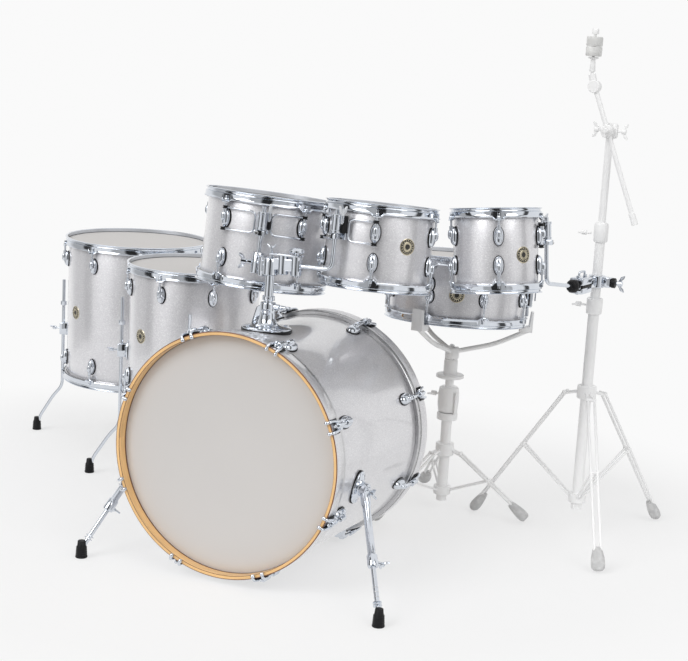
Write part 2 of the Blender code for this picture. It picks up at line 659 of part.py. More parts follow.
def snare_drum(basket):
    radius = 7.0 * INCH
    half = 3.0 * INCH
    strainer = at_azimuth(STRAINER_AZIMUTH)
    plates = [(strainer @ shift(radius + 0.0102, 0, THROW_OFF_Z), (0.0245, 0.026, 0.052)),
              (strainer @ turn(math.pi) @ shift(radius + 0.0070, 0, THROW_OFF_Z), (0.0180, 0.026, 0.052))]
    drum("snare", radius, half, SNARE, evenly(8, -2.0), FLOOR_SEGMENTS, basket,
         add=[boxes("snare_throw_off", plates, SNARE)], long_lugs=True)
    hinge = SNARE @ strainer @ shift(radius + LEVER_OUT, 0, LEVER_Z)
    lever = boxes("snare_strainer_lever", [(shift(0, 0, 0.023), (0.004, 0.014, 0.050))], hinge)
    piece(lever, "chrome", parent=basket)
    below = SNARE @ strainer @ shift(0, 0, -half - 0.0038)
    band = boxes("snare_wires", [(Matrix(), (WIRE_LENGTH, WIRE_WIDTH, 0.0016))], below)
    end = 0.5 * WIRE_LENGTH + 0.002
    ends = boxes("snare_wire_ends", [(shift(x, 0, 0), (0.010, 0.050, 0.0030)) for x in (-end, end)], below)
    slot = 0.3 * WIRE_WIDTH
    slots = boxes("snare_wire_slots", [(shift(0, y, 0), (0.9 * WIRE_LENGTH, 0.0040, 0.01))
                                       for y in (-slot, 0.0, slot)], below)
    piece(band, "steel", add=[ends], cut=[slots], parent=basket)


# Stands

def strip(start, end, width, thickness):
    """Box specification of a flat bar between two points, wide along local Y."""
    start, end = Vector(start), Vector(end)
    along = (end - start).normalized()
    across = Vector((0.0, 1.0, 0.0))
    turned_to = Matrix((along.cross(across), across, -along)).transposed().to_4x4()
    return (shift((start + end) / 2.0) @ turned_to, (thickness, width, (end - start).length))


def tripod(name, place, azimuths, reach, hub, base, radius, bore, top, floor, leg_width, shoulder_out):
    """Lower tube, bored from its top to a floor, with three braced legs, as one rigid frame."""
    tube = turned(name, [(0.0, top), (radius, top), (radius, base - 0.030), (0.0, base - 0.030)],
                  TUBE_SIDES, place)
    collars = [(shift(0, 0, z - h), r, r, 2.0 * h, TUBE_SIDES)
               for z, h, r in ((base, 0.012, radius + 0.011), (hub, 0.018, radius + 0.013),
                               (top - 0.020, 0.0215, radius + 0.0075))]
    solids = [cones(f"{name}_collar_{k}", [c], place) for k, c in enumerate(collars)]
    for number, azimuth in enumerate(azimuths):
        spoke = place @ turn(math.radians(azimuth))
        shoulder = Vector((shoulder_out, 0, hub - 0.008))
        ankle = Vector((reach - 0.006, 0, 0.030))
        fall = (ankle - shoulder).normalized()
        knee = shoulder.lerp(ankle, 0.46)
        solids += [
            boxes(f"{name}_knuckle_{number}", [strip((radius + 0.002, 0, hub), shoulder + 0.006 * fall,
                                                     leg_width + 0.006, 0.022)], spoke),
            boxes(f"{name}_leg_{number}", [strip(shoulder - 0.004 * fall, ankle, leg_width, 0.010)], spoke),
            boxes(f"{name}_brace_{number}", [strip((radius + 0.003, 0, base), knee, 0.6 * leg_width, 0.007)],
                  spoke),
            cones(f"{name}_foot_{number}", [(facing(-fall, ankle + 0.022 * fall), 0.0125, 0.0105, 0.050, 8)],
                  spoke)]
    ground = boxes(f"{name}_ground", [(shift(0, 0, -0.05), (1.0, 1.0, 0.1))], place)
    hollow = cones(f"{name}_hollow", [(shift(0, 0, floor), bore, bore, top, TUBE_SIDES)], place)
    piece(tube, "pale", add=solids, cut=[ground, hollow])


def cymbal_stand():
    place = CYMBAL_AXIS
    tripod("cymbal_stand_tripod", place, azimuths=(172.0, 60.0, -61.0), reach=0.305, hub=0.392, base=0.105,
           radius=CYMBAL_LOW, bore=CYMBAL_MIDDLE + GAP, top=CYMBAL_LOWER_TOP, floor=CYMBAL_BORE_FLOOR,
           leg_width=0.018, shoulder_out=0.060)
    length = CYMBAL_MIDDLE_TOP - CYMBAL_MIDDLE_FOOT
    lift = shift(0, 0, CYMBAL_MIDDLE_FOOT)
    middle = cones("cymbal_stand_middle_tube", [(lift, CYMBAL_MIDDLE, CYMBAL_MIDDLE, length, TUBE_SIDES)],
                   place)
    below = CYMBAL_MIDDLE_TOP - 0.049
    sleeve = cones("cymbal_middle_collar", [(shift(0, 0, below), 0.0185, 0.0185, 0.050, TUBE_SIDES)], place)
    wing = boxes("cymbal_middle_wing", [(shift(-0.030, 0, below + 0.020), (0.036, 0.012, 0.020))], place)
    wide = CYMBAL_TOP + GAP
    bore = cones("cymbal_middle_bore", [(shift(0, 0, CYMBAL_MIDDLE_FOOT + 0.050), wide, wide, length,
                                         TUBE_SIDES)], place)
    piece(middle, "pale", add=[sleeve, wing], cut=[bore])
    rise = (shift(0, 0, CYMBAL_UPPER_FOOT), CYMBAL_TOP, CYMBAL_TOP, TILTER_HEIGHT + 0.002 - CYMBAL_UPPER_FOOT,
            TUBE_SIDES)
    upper = cones("cymbal_stand_upper_tube", [rise], place)
    tilter = boxes("cymbal_tilter", [(shift(0, 0, TILTER_HEIGHT), (0.050, 0.019, 0.040))], place)
    piece(upper, "pale", add=[tilter], parent=middle)

    centre = place @ Vector((0, -0.0235, TILTER_HEIGHT))
    tail = centre + Vector(BOOM_TAIL)
    along = (centre - tail).normalized()
    knee = centre + BOOM_AHEAD * along
    seat = knee + Vector((-0.010, 0, 0.030))
    boom = wire("cymbal_stand_boom", [tail, knee], BOOM_RADIUS, Matrix())
    hub = cones("cymbal_boom_hub", [(facing((0, 1, 0), centre - Vector((0, 0.013, 0))), 0.015, 0.015, 0.026,
                                     10)], Matrix())
    ratchet = wire("cymbal_ratchet", [knee - 0.0135 * along, knee + 0.002 * along, seat], 0.0105, Matrix())
    spindle = cones("cymbal_spindle", [(shift(seat - 0.012 * UP), 0.0038, 0.0038, 0.120, 6)], Matrix())
    felts = cones("cymbal_felts", [(shift(seat + 0.044 * UP), FELT_RADIUS, FELT_RADIUS, FELT_HEIGHT, 10)],
                  Matrix())
    nut = cones("cymbal_nut", [(shift(seat + 0.098 * UP), 0.0085, 0.0085, 0.014, 6)], Matrix())
    piece(boom, "pale", add=[hub, ratchet, spindle, felts, nut],
          parent=pivot("cymbal_boom_tilt", facing((0, 1, 0), centre), upper))
    return middle


def snare_stand():
    place = SNARE_AXIS
    tripod("snare_stand_tripod", place, azimuths=(3.0, 124.0, 245.0), reach=0.235, hub=0.175, base=0.060,
           radius=SNARE_LOW, bore=SNARE_TOP + GAP, top=SNARE_LOWER_TOP, floor=SNARE_BORE_FLOOR,
           leg_width=0.016, shoulder_out=0.045)
    upper = cones("snare_stand_upper_tube", [(shift(0, 0, SNARE_UPPER_FOOT), SNARE_TOP, SNARE_TOP,
                                              SNARE_HUB - 0.022 - SNARE_UPPER_FOOT, TUBE_SIDES)], place)
    tilter = cones("snare_tilter", [(shift(0, 0, SNARE_HUB - 0.070), 0.0185, 0.0185, 0.050, 10)], place)
    disc = cones("snare_tilter_disc", [(shift(0, 0, SNARE_HUB - 0.085), 0.030, 0.030, 0.007, 10)], place)
    cheeks = boxes("snare_tilter_cheeks", [(shift(x, 0, SNARE_HUB - 0.008), (0.005, 0.022, 0.044))
                                           for x in (-0.0125, 0.0125)], place)
    piece(upper, "pale", add=[tilter, disc, cheeks])

    radius = 7.0 * INCH
    low = -3.0 * INCH - DRUM_EDGE
    hub = place @ Vector((0, 0, SNARE_HUB))
    centre = SNARE @ Vector((0, 0, low - BASKET_DROP))
    ring = radius + HOOP_FLANGE + 0.0015
    arms = []
    hooks = []
    for azimuth in BASKET_AZIMUTHS:
        spoke = at_azimuth(azimuth)
        out = SNARE @ spoke @ Vector((ring + 0.004, 0, low - 0.010))
        middle = centre.lerp(out, 0.55) - 0.012 * UP
        arms.append(wire(f"snare_basket_arm_{azimuth:.0f}", [centre, middle, out], BASKET_ARM, Matrix()))
        hooks.append((spoke @ shift(ring + 0.005, 0, low + 0.012), (0.010, 0.036, 0.052)))
        hooks.append((spoke @ shift(ring - 0.007, 0, low - 0.0085), (0.034, 0.036, 0.0160)))
    stem = wire("snare_stand_basket", [hub, hub + 0.016 * UP, centre + 0.010 * UP], 0.0068, Matrix())
    eye = cones("snare_basket_eye", [(facing((1, 0, 0), hub - Vector((0.0092, 0, 0))), 0.0120, 0.0120,
                                      0.0184, 10)], Matrix())
    block = cones("snare_basket_block", [(facing(UP, centre - 0.016 * UP), 0.0180, 0.0180, 0.028, 10)],
                  Matrix())
    basket = pivot("snare_basket_tilt", facing((1, 0, 0), hub), upper)
    hook_solids = [boxes(f"snare_hooks_{k}", hooks[k::2], SNARE) for k in (0, 1)]
    piece(stem, "pale", add=[eye, block] + arms + hook_solids, parent=basket)
    return basket


bass_drum()
spur("right")
spur("left")
tom_arms = tom_holder()
cymbal_tube = cymbal_stand()
tom_arms["tom8"] = tom8_arm(cymbal_tube)
hung_tom("tom12", 12, 8, TOM12, -13.0, tom_arms["tom12"])
hung_tom("tom10", 10, 7, TOM10, 19.0, tom_arms["tom10"])
hung_tom("tom8", 8, 7, TOM8, 24.0, tom_arms["tom8"])
floor_drum("floor14", 14, FLOOR14, 0.6, (-67.5, 27.0, 157.5), -0.067, 0.281)
floor_drum("floor16", 16, FLOOR16, -5.0, (-72.5, 62.5, 197.5), -0.079, 0.303)
snare_drum(snare_stand())
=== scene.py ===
"""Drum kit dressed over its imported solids: lacquer, chrome, wood, film and rubber."""
import math

import bmesh
import bpy
from bpy.props import FloatProperty, FloatVectorProperty, IntProperty, PointerProperty
from mathutils import Matrix, Vector


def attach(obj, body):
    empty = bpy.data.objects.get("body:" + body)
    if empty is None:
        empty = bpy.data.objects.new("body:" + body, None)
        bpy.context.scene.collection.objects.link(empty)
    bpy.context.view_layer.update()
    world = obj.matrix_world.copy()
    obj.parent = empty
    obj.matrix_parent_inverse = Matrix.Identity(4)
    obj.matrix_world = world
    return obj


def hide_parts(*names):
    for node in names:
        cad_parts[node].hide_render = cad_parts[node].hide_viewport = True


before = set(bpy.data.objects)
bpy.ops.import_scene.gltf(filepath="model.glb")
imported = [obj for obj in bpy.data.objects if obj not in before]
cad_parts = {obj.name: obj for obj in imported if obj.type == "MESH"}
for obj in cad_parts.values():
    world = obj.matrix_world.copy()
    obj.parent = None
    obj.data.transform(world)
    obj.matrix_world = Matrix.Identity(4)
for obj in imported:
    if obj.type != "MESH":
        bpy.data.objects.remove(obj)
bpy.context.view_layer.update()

bl_info = {
    "name": "Drum kit",
    "version": (1, 0, 0),
    "blender": (4, 5, 0),
    "location": "3D View > Sidebar > Drum kit",
    "description": "Builds a seven-piece drum kit with its hardware and stands",
    "category": "Add Mesh",
}

# Lengths are millimetres, and in_metres() brings each mesh to metres. The camera, the suns, the floor's fade
# and the user's sizes are in metres.
TAU = 2.0 * math.pi
MM = 0.001
SMOOTH_ANGLE = math.radians(38.0)
INCH = 25.4
GAP = 0.4                       # between parts that would touch
UP = Vector((0, 0, 1.0))
ORIGIN = Vector((-204.9, 617.4, 0))

BASS_RADIUS = 277.5
BASS_LENGTH = 522
BASS_SHELL_LENGTH = 466
BASS_WALL = 7.5
BASS_HOOP_IN = 279.7
BASS_HOOP_OUT = 289
BASS_HOOP_WIDTH = 37.5
BASS_RING_OUT = 287.2
BASS_TILT = math.radians(1.75)
BASS_LUG_DEPTH = 90
BASS_ROD_RADIUS = 296.5
BASS_LUGS = (8, 22.5)           # count and first azimuth
CLAW_FINGER = 12.5              # from the middle of the claw
SPUR_HINGE_OUT = 20.5
SPUR_ANGLE = math.radians(-11.4)
SPUR_DEPTH = 150
SPUR_TUBE_SHARE = 0.62
SPUR_FEET = {"right": (431, -46), "left": (-364, -20)}

DRUM_WALL = 6.2
DRUM_EDGE = 12
HOOP_DEPTH = 18
ROD_OFFSET = 11.4
LUG_FROM_EDGE = 54.5
STRAINER_AZIMUTH = 110.5
BADGE_BEADS = 16
BEAD_RING = 0.74                # share of the badge's radius
WIRES = 20                      # in the snare, each with a wave every WIRE_PITCH of its WIRE_POINTS points
WIRE_POINTS = 150
WIRE_PITCH = 2.5
EAR_WIDTH = 16.5                # along the hoop to each side of a rod
ARM_RADIUS = 5.2
ARM_OFFSET = 30
BAND_OUT = 9.8
BAND_RISE = 25.6
LEG_OFFSET = 22
LEG_ABOVE = 150
LEG_KNEE = 145                  # above the floor
LEG_LOCK = 72                   # clear of the bracket when the leg slides down
POST_DEPTH = 175
POST_RADIUS = 10.8
HEAD_HEIGHT = 152
CYMBAL_LOW = 14.3
CYMBAL_MIDDLE = 12.7
CYMBAL_TOP = 9.5
SOCKET_REACH = {"tom12": 50, "tom10": 78}     # far end of the holder's clamps from the post's axis
CLAMP_HEIGHT = 685
TOM8_BALL = (580, 700, 687)
BOOM_TAIL = (93, 0, -227)       # from the tilter
BOOM_AHEAD = 115
TILTER_HEIGHT = 1068
SNARE_LOW = 14.3
SNARE_TOP = 11.5
SNARE_HUB = 445


def turn(angle, axis="Z"):
    return Matrix.Rotation(angle, 4, axis)


def shift(*offset):
    return Matrix.Translation(Vector(*offset) if len(offset) == 1 else Vector(offset))


def up(height):
    return shift(0, 0, height)


def angle_of(azimuth):
    """Angle about Z of an azimuth, which is in degrees from -Y towards +X."""
    return math.radians(azimuth) - math.pi / 2.0


def at_azimuth(azimuth):
    """Brings local +X to the azimuth."""
    return turn(angle_of(azimuth))


def facing(direction, point):
    """Frame at a point with its Z along a direction."""
    return shift(point) @ Vector(direction).to_track_quat("Z", "X").to_matrix().to_4x4()


def spot(x, y, z=0):
    return Vector((x, y, z)) - ORIGIN


def standing(x, y, z, lateral=0, forward=0):
    """Drum centre, leaning sideways and towards the player by the two angles."""
    lean = turn(math.radians(lateral), "Y") @ turn(-math.radians(forward), "X")
    return shift(spot(x, y, z)) @ lean


def evenly(count, start):
    """Azimuths that share the circle."""
    return [start + 360.0 * k / count for k in range(count)]


def around(radius, line):
    """Profile whose radii are given from another radius."""
    return [(radius + r, z) for r, z in line]


def oval(tall, wide):
    """Stretches a turned part whose profile has radii near 1."""
    return Matrix.Diagonal((tall, wide, 1.0, 1.0))


QUARTER_X, QUARTER_Y, QUARTER_Z = (turn(math.pi / 2.0, axis) for axis in "XYZ")
BACK_X, BACK_Z = (turn(-math.pi / 2.0, axis) for axis in "XZ")
BASS_HEIGHT = BASS_HOOP_OUT * math.cos(BASS_TILT) + BASS_LENGTH * math.sin(BASS_TILT)
PLACE_BASS = shift(spot(0, 0, BASS_HEIGHT)) @ turn(math.pi / 2.0 - BASS_TILT, "X")
BASS_REAR = PLACE_BASS @ up(-BASS_LENGTH) @ turn(math.pi, "X")
HOLDER = PLACE_BASS @ shift(0, BASS_RADIUS, -POST_DEPTH) @ BACK_X
TOM12 = standing(-124, 394, 754, 2.2, 5.7)
TOM10 = standing(200, 352, 779, 0.4, 5.6)
TOM8 = standing(445, 490, 783, -6.6, 4.7)
SNARE = standing(240, 790, 633, -0.6, 4.0)
FLOOR14 = standing(-503, 707, 426.7)
FLOOR16 = standing(-872, 993, 403.8)
SNARE_AXIS = shift(spot(212, 850))
CYMBAL_AXIS = shift(spot(597, 848))


class Drum:
    """One upright drum; first is its first lug's azimuth, badge the azimuth and height of its badge."""

    def __init__(self, inches, depth, place, first, lugs, body, badge=None):
        self.radius = 0.5 * inches * INCH
        self.half = 0.5 * depth * INCH
        self.place = place
        self.first = first
        self.lugs = lugs
        self.body = body
        self.badge = badge


DRUMS = {
    "tom12": Drum(12, 8, TOM12, -13.0, 5, "tom12_drum"),
    "tom10": Drum(10, 7, TOM10, 19.0, 5, "tom10_drum", (55.0, 10)),
    "tom8": Drum(8, 7, TOM8, 24.0, 5, "tom8_drum", (60.0, -10)),
    "floor14": Drum(14, 14, FLOOR14, 0.6, 8, "kit_base", (-22.5, 0)),
    "floor16": Drum(16, 16, FLOOR16, -5.0, 8, "kit_base", (-27.5, 0)),
    "snare": Drum(14, 6, SNARE, -2.0, 8, "snare_and_basket", (20.5, -6)),
}
# tag: (azimuths of the legs, height of their brackets, how far out the feet stand)
FLOOR_LEGS = {"floor14": ((-67.5, 27.0, 157.5), -67, 281), "floor16": ((-72.5, 62.5, 197.5), -79, 303)}
# tag: (azimuth of the hanger, clamp height, low and high end of its rod)
HANGERS = {"tom12": (23.0, 54, -47, 88), "tom10": (-17.0, 46, -61, 80), "tom8": (132.0, 46, -82, 78)}
WING = [(-1.0, 0.92), (-0.90, 1.0), (-0.62, 0.88), (-0.34, 0.46), (0.34, 0.46), (0.62, 0.88), (0.90, 1.0),
        (1.0, 0.92), (0.82, 0.30), (0.34, -0.06), (-0.34, -0.06), (-0.82, 0.30)]


def length_property(title, text, value):
    return FloatProperty(name=title, description=text, default=value, unit="LENGTH", subtype="DISTANCE")


class KitSizes(bpy.types.PropertyGroup):
    """Sizes that a user may change without moving anything that others rest on."""
    round_steps: IntProperty(name="Drum steps", description="Facets round a drum", default=128, min=32)
    hoop_ear: length_property("Hoop ear", "How far the hoop's ears stand out between rods", 0.0046)
    lug_height: length_property("Lug height", "Length of a lug along the drum", 0.0440)
    lug_width: length_property("Lug width", "Width of a lug round the drum", 0.0230)
    gasket: length_property("Gasket", "Thickness of the rubber under a lug", 0.0026)
    badge: length_property("Badge", "Badge diameter", 0.0395)


def size(name):
    """One of the user's lengths, in millimetres."""
    return getattr(bpy.context.scene.kit_sizes, name) / MM


def colour_property(title, text, value):
    return FloatVectorProperty(name=title, description=text, default=value, size=3, subtype="COLOR", min=0.0,
                               max=1.0)


class KitColours(bpy.types.PropertyGroup):
    flake: colour_property("Light flake", "Bright flakes in the lacquer", (0.88, 0.875, 0.895))
    flake_shade: colour_property("Dark flake", "Dull flakes in the lacquer", (0.62, 0.615, 0.640))
    chrome: colour_property("Chrome", "Plated metal", (0.70, 0.735, 0.79))
    maple: colour_property("Hoop wood", "Clear lacquered hoop", (0.93, 0.58, 0.245))
    hoop_line: colour_property("Hoop line", "Stained edge of the hoop", (0.20, 0.075, 0.035))
    ply: colour_property("Shell wood", "Bare inside of a shell", (0.62, 0.42, 0.25))
    film: colour_property("Coated film", "Batter and front heads", (0.625, 0.605, 0.59))
    rubber: colour_property("Rubber", "Gaskets and feet", (0.009, 0.009, 0.010))
    stand: colour_property("Stand", "Pale finish of the two stands", (0.96, 0.96, 0.96))
    stand_rubber: colour_property("Stand rubber", "Feet of the two stands", (0.56, 0.56, 0.56))
    brass: colour_property("Badge metal", "Plain round badge", (0.62, 0.56, 0.42))
    floor: colour_property("Floor", "Seamless floor and backdrop", (0.955, 0.955, 0.955))


# Shader maths and nodes

class Value:
    """A number in a node tree; arithmetic on it adds Math nodes."""

    def __init__(self, nodes, socket):
        self.nodes = nodes
        self.socket = socket

    def math(self, operation, *others):
        return self.nodes.value("ShaderNodeMath", {"operation": operation}, dict(enumerate((self, *others))))

    def __add__(self, other):
        return self.math("ADD", other)

    def __mul__(self, other):
        return self.math("MULTIPLY", other)

    def __sub__(self, other):
        return self.math("SUBTRACT", other)

    def __rsub__(self, other):
        return (self * -1.0) + other

    __radd__ = __add__
    __rmul__ = __mul__


class Nodes:
    """A node tree being put together."""

    def __init__(self, tree):
        self.tree = tree

    def node(self, kind, settings=None, inputs=None, output=0):
        """Adds a node with its settings, then the values or links of its sockets."""
        made = self.tree.nodes.new(kind)
        for key, value in (settings or {}).items():
            setattr(made, key, value)
        for key, value in (inputs or {}).items():
            if isinstance(value, Value):
                value = value.socket
            if isinstance(value, bpy.types.NodeSocket):
                self.tree.links.new(value, made.inputs[key])
            else:
                made.inputs[key].default_value = value
        return made.outputs[output]

    def value(self, *node):
        return Value(self, self.node(*node))

    def split(self, vector):
        return [self.value("ShaderNodeSeparateXYZ", {}, {0: vector}, k) for k in range(3)]

    def ramp(self, value, low, high):
        inputs = {"Value": value, "From Min": low, "From Max": high}
        return self.value("ShaderNodeMapRange", {"clamp": True}, inputs)

    def rays(self):
        """1 where the camera looks directly, and 1 where it also looks in a reflection or through film."""
        kinds = [self.value("ShaderNodeLightPath", {}, {}, f"Is {kind} Ray")
                 for kind in ("Camera", "Glossy", "Transmission")]
        return kinds[0], kinds[0].math("MAXIMUM", kinds[1]).math("MAXIMUM", kinds[2])

    def mixed(self, share, first, second, output):
        """Blends two shaders into the tree's output."""
        blend = self.node("ShaderNodeMixShader", {}, {0: share, 1: first, 2: second})
        self.tree.links.new(blend, self.tree.nodes[output].inputs["Surface"])


SOCKETS = {"coat_weight": "Coat Weight", "coat_roughness": "Coat Roughness",
           "specular_level": "Specular IOR Level"}


class Finish(Nodes):
    """A material being put together round its Principled shader."""

    def __init__(self, name, **fixed):
        self.material = bpy.data.materials.new(name)
        self.material.use_nodes = True
        super().__init__(self.material.node_tree)
        self.shader = self.tree.nodes["Principled BSDF"]
        for socket, value in fixed.items():
            self.shader.inputs[SOCKETS.get(socket, socket.title())].default_value = value
        self.place = self.node("ShaderNodeTexCoord", output="Object")

    def noise(self, scale, detail=3.0, roughness=0.5, vector=None):
        inputs = {"Vector": vector or self.place, "Scale": scale, "Detail": detail, "Roughness": roughness}
        return self.value("ShaderNodeTexNoise", {}, inputs, "Fac")

    def flakes(self, scale):
        """A random number for each cell of a fine Voronoi pattern."""
        inputs = {"Vector": self.place, "Scale": scale}
        return self.split(self.node("ShaderNodeTexVoronoi", {}, inputs, "Color"))[0]

    def mix(self, factor, first, second):
        return self.node("ShaderNodeMix", {"data_type": "RGBA"}, {0: factor, 6: first, 7: second}, 2)

    def feed(self, socket, value):
        self.tree.links.new(value.socket if isinstance(value, Value) else value, self.shader.inputs[socket])

    def covered(self, colour, roughness, *relief):
        """Feeds the shader; relief is a height, its strength and its distance."""
        self.feed("Base Color", colour)
        self.feed("Roughness", roughness)
        if relief:
            inputs = dict(zip(("Height", "Strength", "Distance"), relief))
            self.feed("Normal", self.node("ShaderNodeBump", {}, inputs))
        return self.material


def rgba(colour, share=1.0):
    return (*(min(1.0, c * share) for c in colour), 1.0)


def lacquer(tint):
    """Silver flake lacquer under a clear coat."""
    made = Finish("silver_flake_lacquer", metallic=0.50, coat_weight=1.0, coat_roughness=0.04)
    fine = made.flakes(1300.0)
    coarse = made.flakes(560.0)
    light = made.ramp(fine * 0.7 + coarse * 0.3, 0.05, 0.95)
    spark = made.ramp(coarse, 0.90, 0.96)
    toned = made.mix(light, rgba(tint.flake_shade), rgba(tint.flake))
    sparkling = made.mix(spark * 0.7, toned, (0.98, 0.98, 0.99, 1.0))
    return made.covered(sparkling, 0.38 - fine * 0.10, coarse * 0.5 + fine * 0.5, 0.10, 0.0002)


def plated(name, colour, low=0.05, spread=0.08):
    """Bright plating with a faint haze and the slightest ripple."""
    made = Finish(name, metallic=1.0)
    haze = made.ramp(made.noise(38.0, 4.0, 0.6), 0.35, 0.75)
    toned = made.mix(haze, rgba(colour), rgba(colour, 0.93))
    return made.covered(toned, haze * spread + low, made.noise(90.0, 2.0), 0.04, 0.0006)


def rubber(name, colour):
    """Matt rubber or felt with a little dust."""
    made = Finish(name, roughness=0.6, specular_level=0.22)
    grain = made.noise(420.0, 3.0, 0.6)
    dust = made.ramp(made.noise(60.0, 3.0), 0.45, 0.8)
    toned = made.mix(dust, rgba(colour), rgba([c * 1.35 + 0.003 for c in colour]))
    return made.covered(toned, grain * 0.18 + 0.36, grain, 0.25, 0.0003)


def polar(made):
    """Radius, angle and depth of a point in the bass drum's own frame."""
    inverse = PLACE_BASS.inverted()
    inputs = {"Vector": made.place, "Location": MM * inverse.translation, "Rotation": inverse.to_euler()}
    x, y, z = made.split(made.node("ShaderNodeMapping", {"vector_type": "POINT"}, inputs))
    return (x * x + y * y).math("SQRT"), y.math("ARCTAN2", x), z


def hoop_wood(tint):
    """Bent wood whose grain follows the hoop."""
    made = Finish("maple_hoop_wood", coat_weight=0.5, coat_roughness=0.12)
    radius, angle, depth = polar(made)
    stretched = made.node("ShaderNodeCombineXYZ", {}, {0: radius * 260.0, 1: angle * 5.0, 2: depth * 260.0})
    grain = made.noise(1.0, 4.0, 0.65, stretched)
    cloud = made.noise(0.22, 2.0, 0.5, stretched)
    shade = made.ramp(grain * 0.7 + cloud * 0.5, 0.42, 0.82)
    toned = made.mix(shade, rgba(tint.maple, 1.08), rgba(tint.maple, 0.72))
    return made.covered(toned, grain * 0.16 + 0.26, grain, 0.12, 0.0003)


def ply_wood(tint):
    """Bare wood, its grain round the shell."""
    made = Finish("bare_shell_wood", roughness=0.5)
    stretched = made.node("ShaderNodeMapping", {}, {"Vector": made.place, "Scale": (22.0, 22.0, 150.0)})
    grain = made.noise(1.0, 5.0, 0.6, stretched)
    toned = made.mix(made.ramp(grain, 0.35, 0.7), rgba(tint.ply, 1.05), rgba(tint.ply, 0.72))
    return made.covered(toned, grain * 0.2 + 0.42, grain, 0.15, 0.0004)


def stained(name, colour, rough=0.34):
    """Dark stained wood or enamel: a hoop's stained edge, the badges' enamel, and the painted shade on the
    bass hoops' rear faces.
    """
    made = Finish(name)
    grain = made.noise(160.0, 4.0, 0.6)
    toned = made.mix(grain, rgba(colour, 0.75), rgba(colour, 1.25))
    return made.covered(toned, grain * 0.2 + rough - 0.1, grain, 0.1, 0.0003)


def film(name, colour, alpha=1.0, rough=0.55):
    """Drum film with its fine sprayed grain."""
    made = Finish(name, alpha=alpha)
    grain = made.noise(900.0, 2.0, 0.5)
    toned = made.mix(made.noise(4.0, 3.0), rgba(colour, 1.02), rgba(colour, 0.97))
    return made.covered(toned, grain * 0.12 + rough - 0.06, grain, 0.12 if alpha == 1.0 else 0.02, 0.0002)


def pale_metal(tint):
    """Pale painted finish of the two stands."""
    made = Finish("pale_stand_metal")
    haze = made.noise(28.0, 3.0)
    toned = made.mix(haze, rgba(tint.stand, 1.03), rgba(tint.stand, 0.95))
    return made.covered(toned, haze * 0.2 + 0.3, made.noise(200.0, 2.0), 0.05, 0.0004)


def steel_wire(tint):
    made = Finish("coiled_wire", metallic=1.0)
    haze = made.noise(600.0, 2.0)
    return made.covered(made.mix(haze, rgba(tint.chrome, 0.9), rgba(tint.chrome, 0.7)), haze * 0.2 + 0.25)


FINISHES = {}


def make_finishes(tint):
    """Fills the table of finishes that every piece takes from."""
    FINISHES.update(lacquer=lacquer(tint), chrome=plated("bright_chrome", tint.chrome), maple=hoop_wood(tint),
                    line=stained("hoop_edge_stain", tint.hoop_line), ply=ply_wood(tint),
                    wire=steel_wire(tint), rubber=rubber("black_rubber", tint.rubber),
                    felt=rubber("pale_felt", (0.70, 0.70, 0.69)), stand=pale_metal(tint),
                    stand_rubber=rubber("stand_rubber", tint.stand_rubber),
                    coated=film("coated_film", tint.film), clear=film("clear_film", (0.80, 0.82, 0.83),
                                                                      alpha=0.35, rough=0.14),
                    brass=plated("badge_metal", tint.brass, low=0.22, spread=0.15),
                    # The dark enamel finish is the badges' enamel, and also painted shade on the bass hoops'
                    # rear faces and inner rear chamfers.
                    floor=floor_finish(tint.floor), ink=stained("badge_enamel", (0.030, 0.028, 0.024),
                                                                rough=0.4),
                    # The pale ring metal is the heads' flesh rings and small collars, and also a painted
                    # highlight on the bass hoops' rear outer chamfers.
                    ring=plated("flesh_ring", (0.62, 0.62, 0.63), low=0.25, spread=0.15),
                    nylon=film("pale_nylon", (0.72, 0.74, 0.77), rough=0.42))


# Mesh code

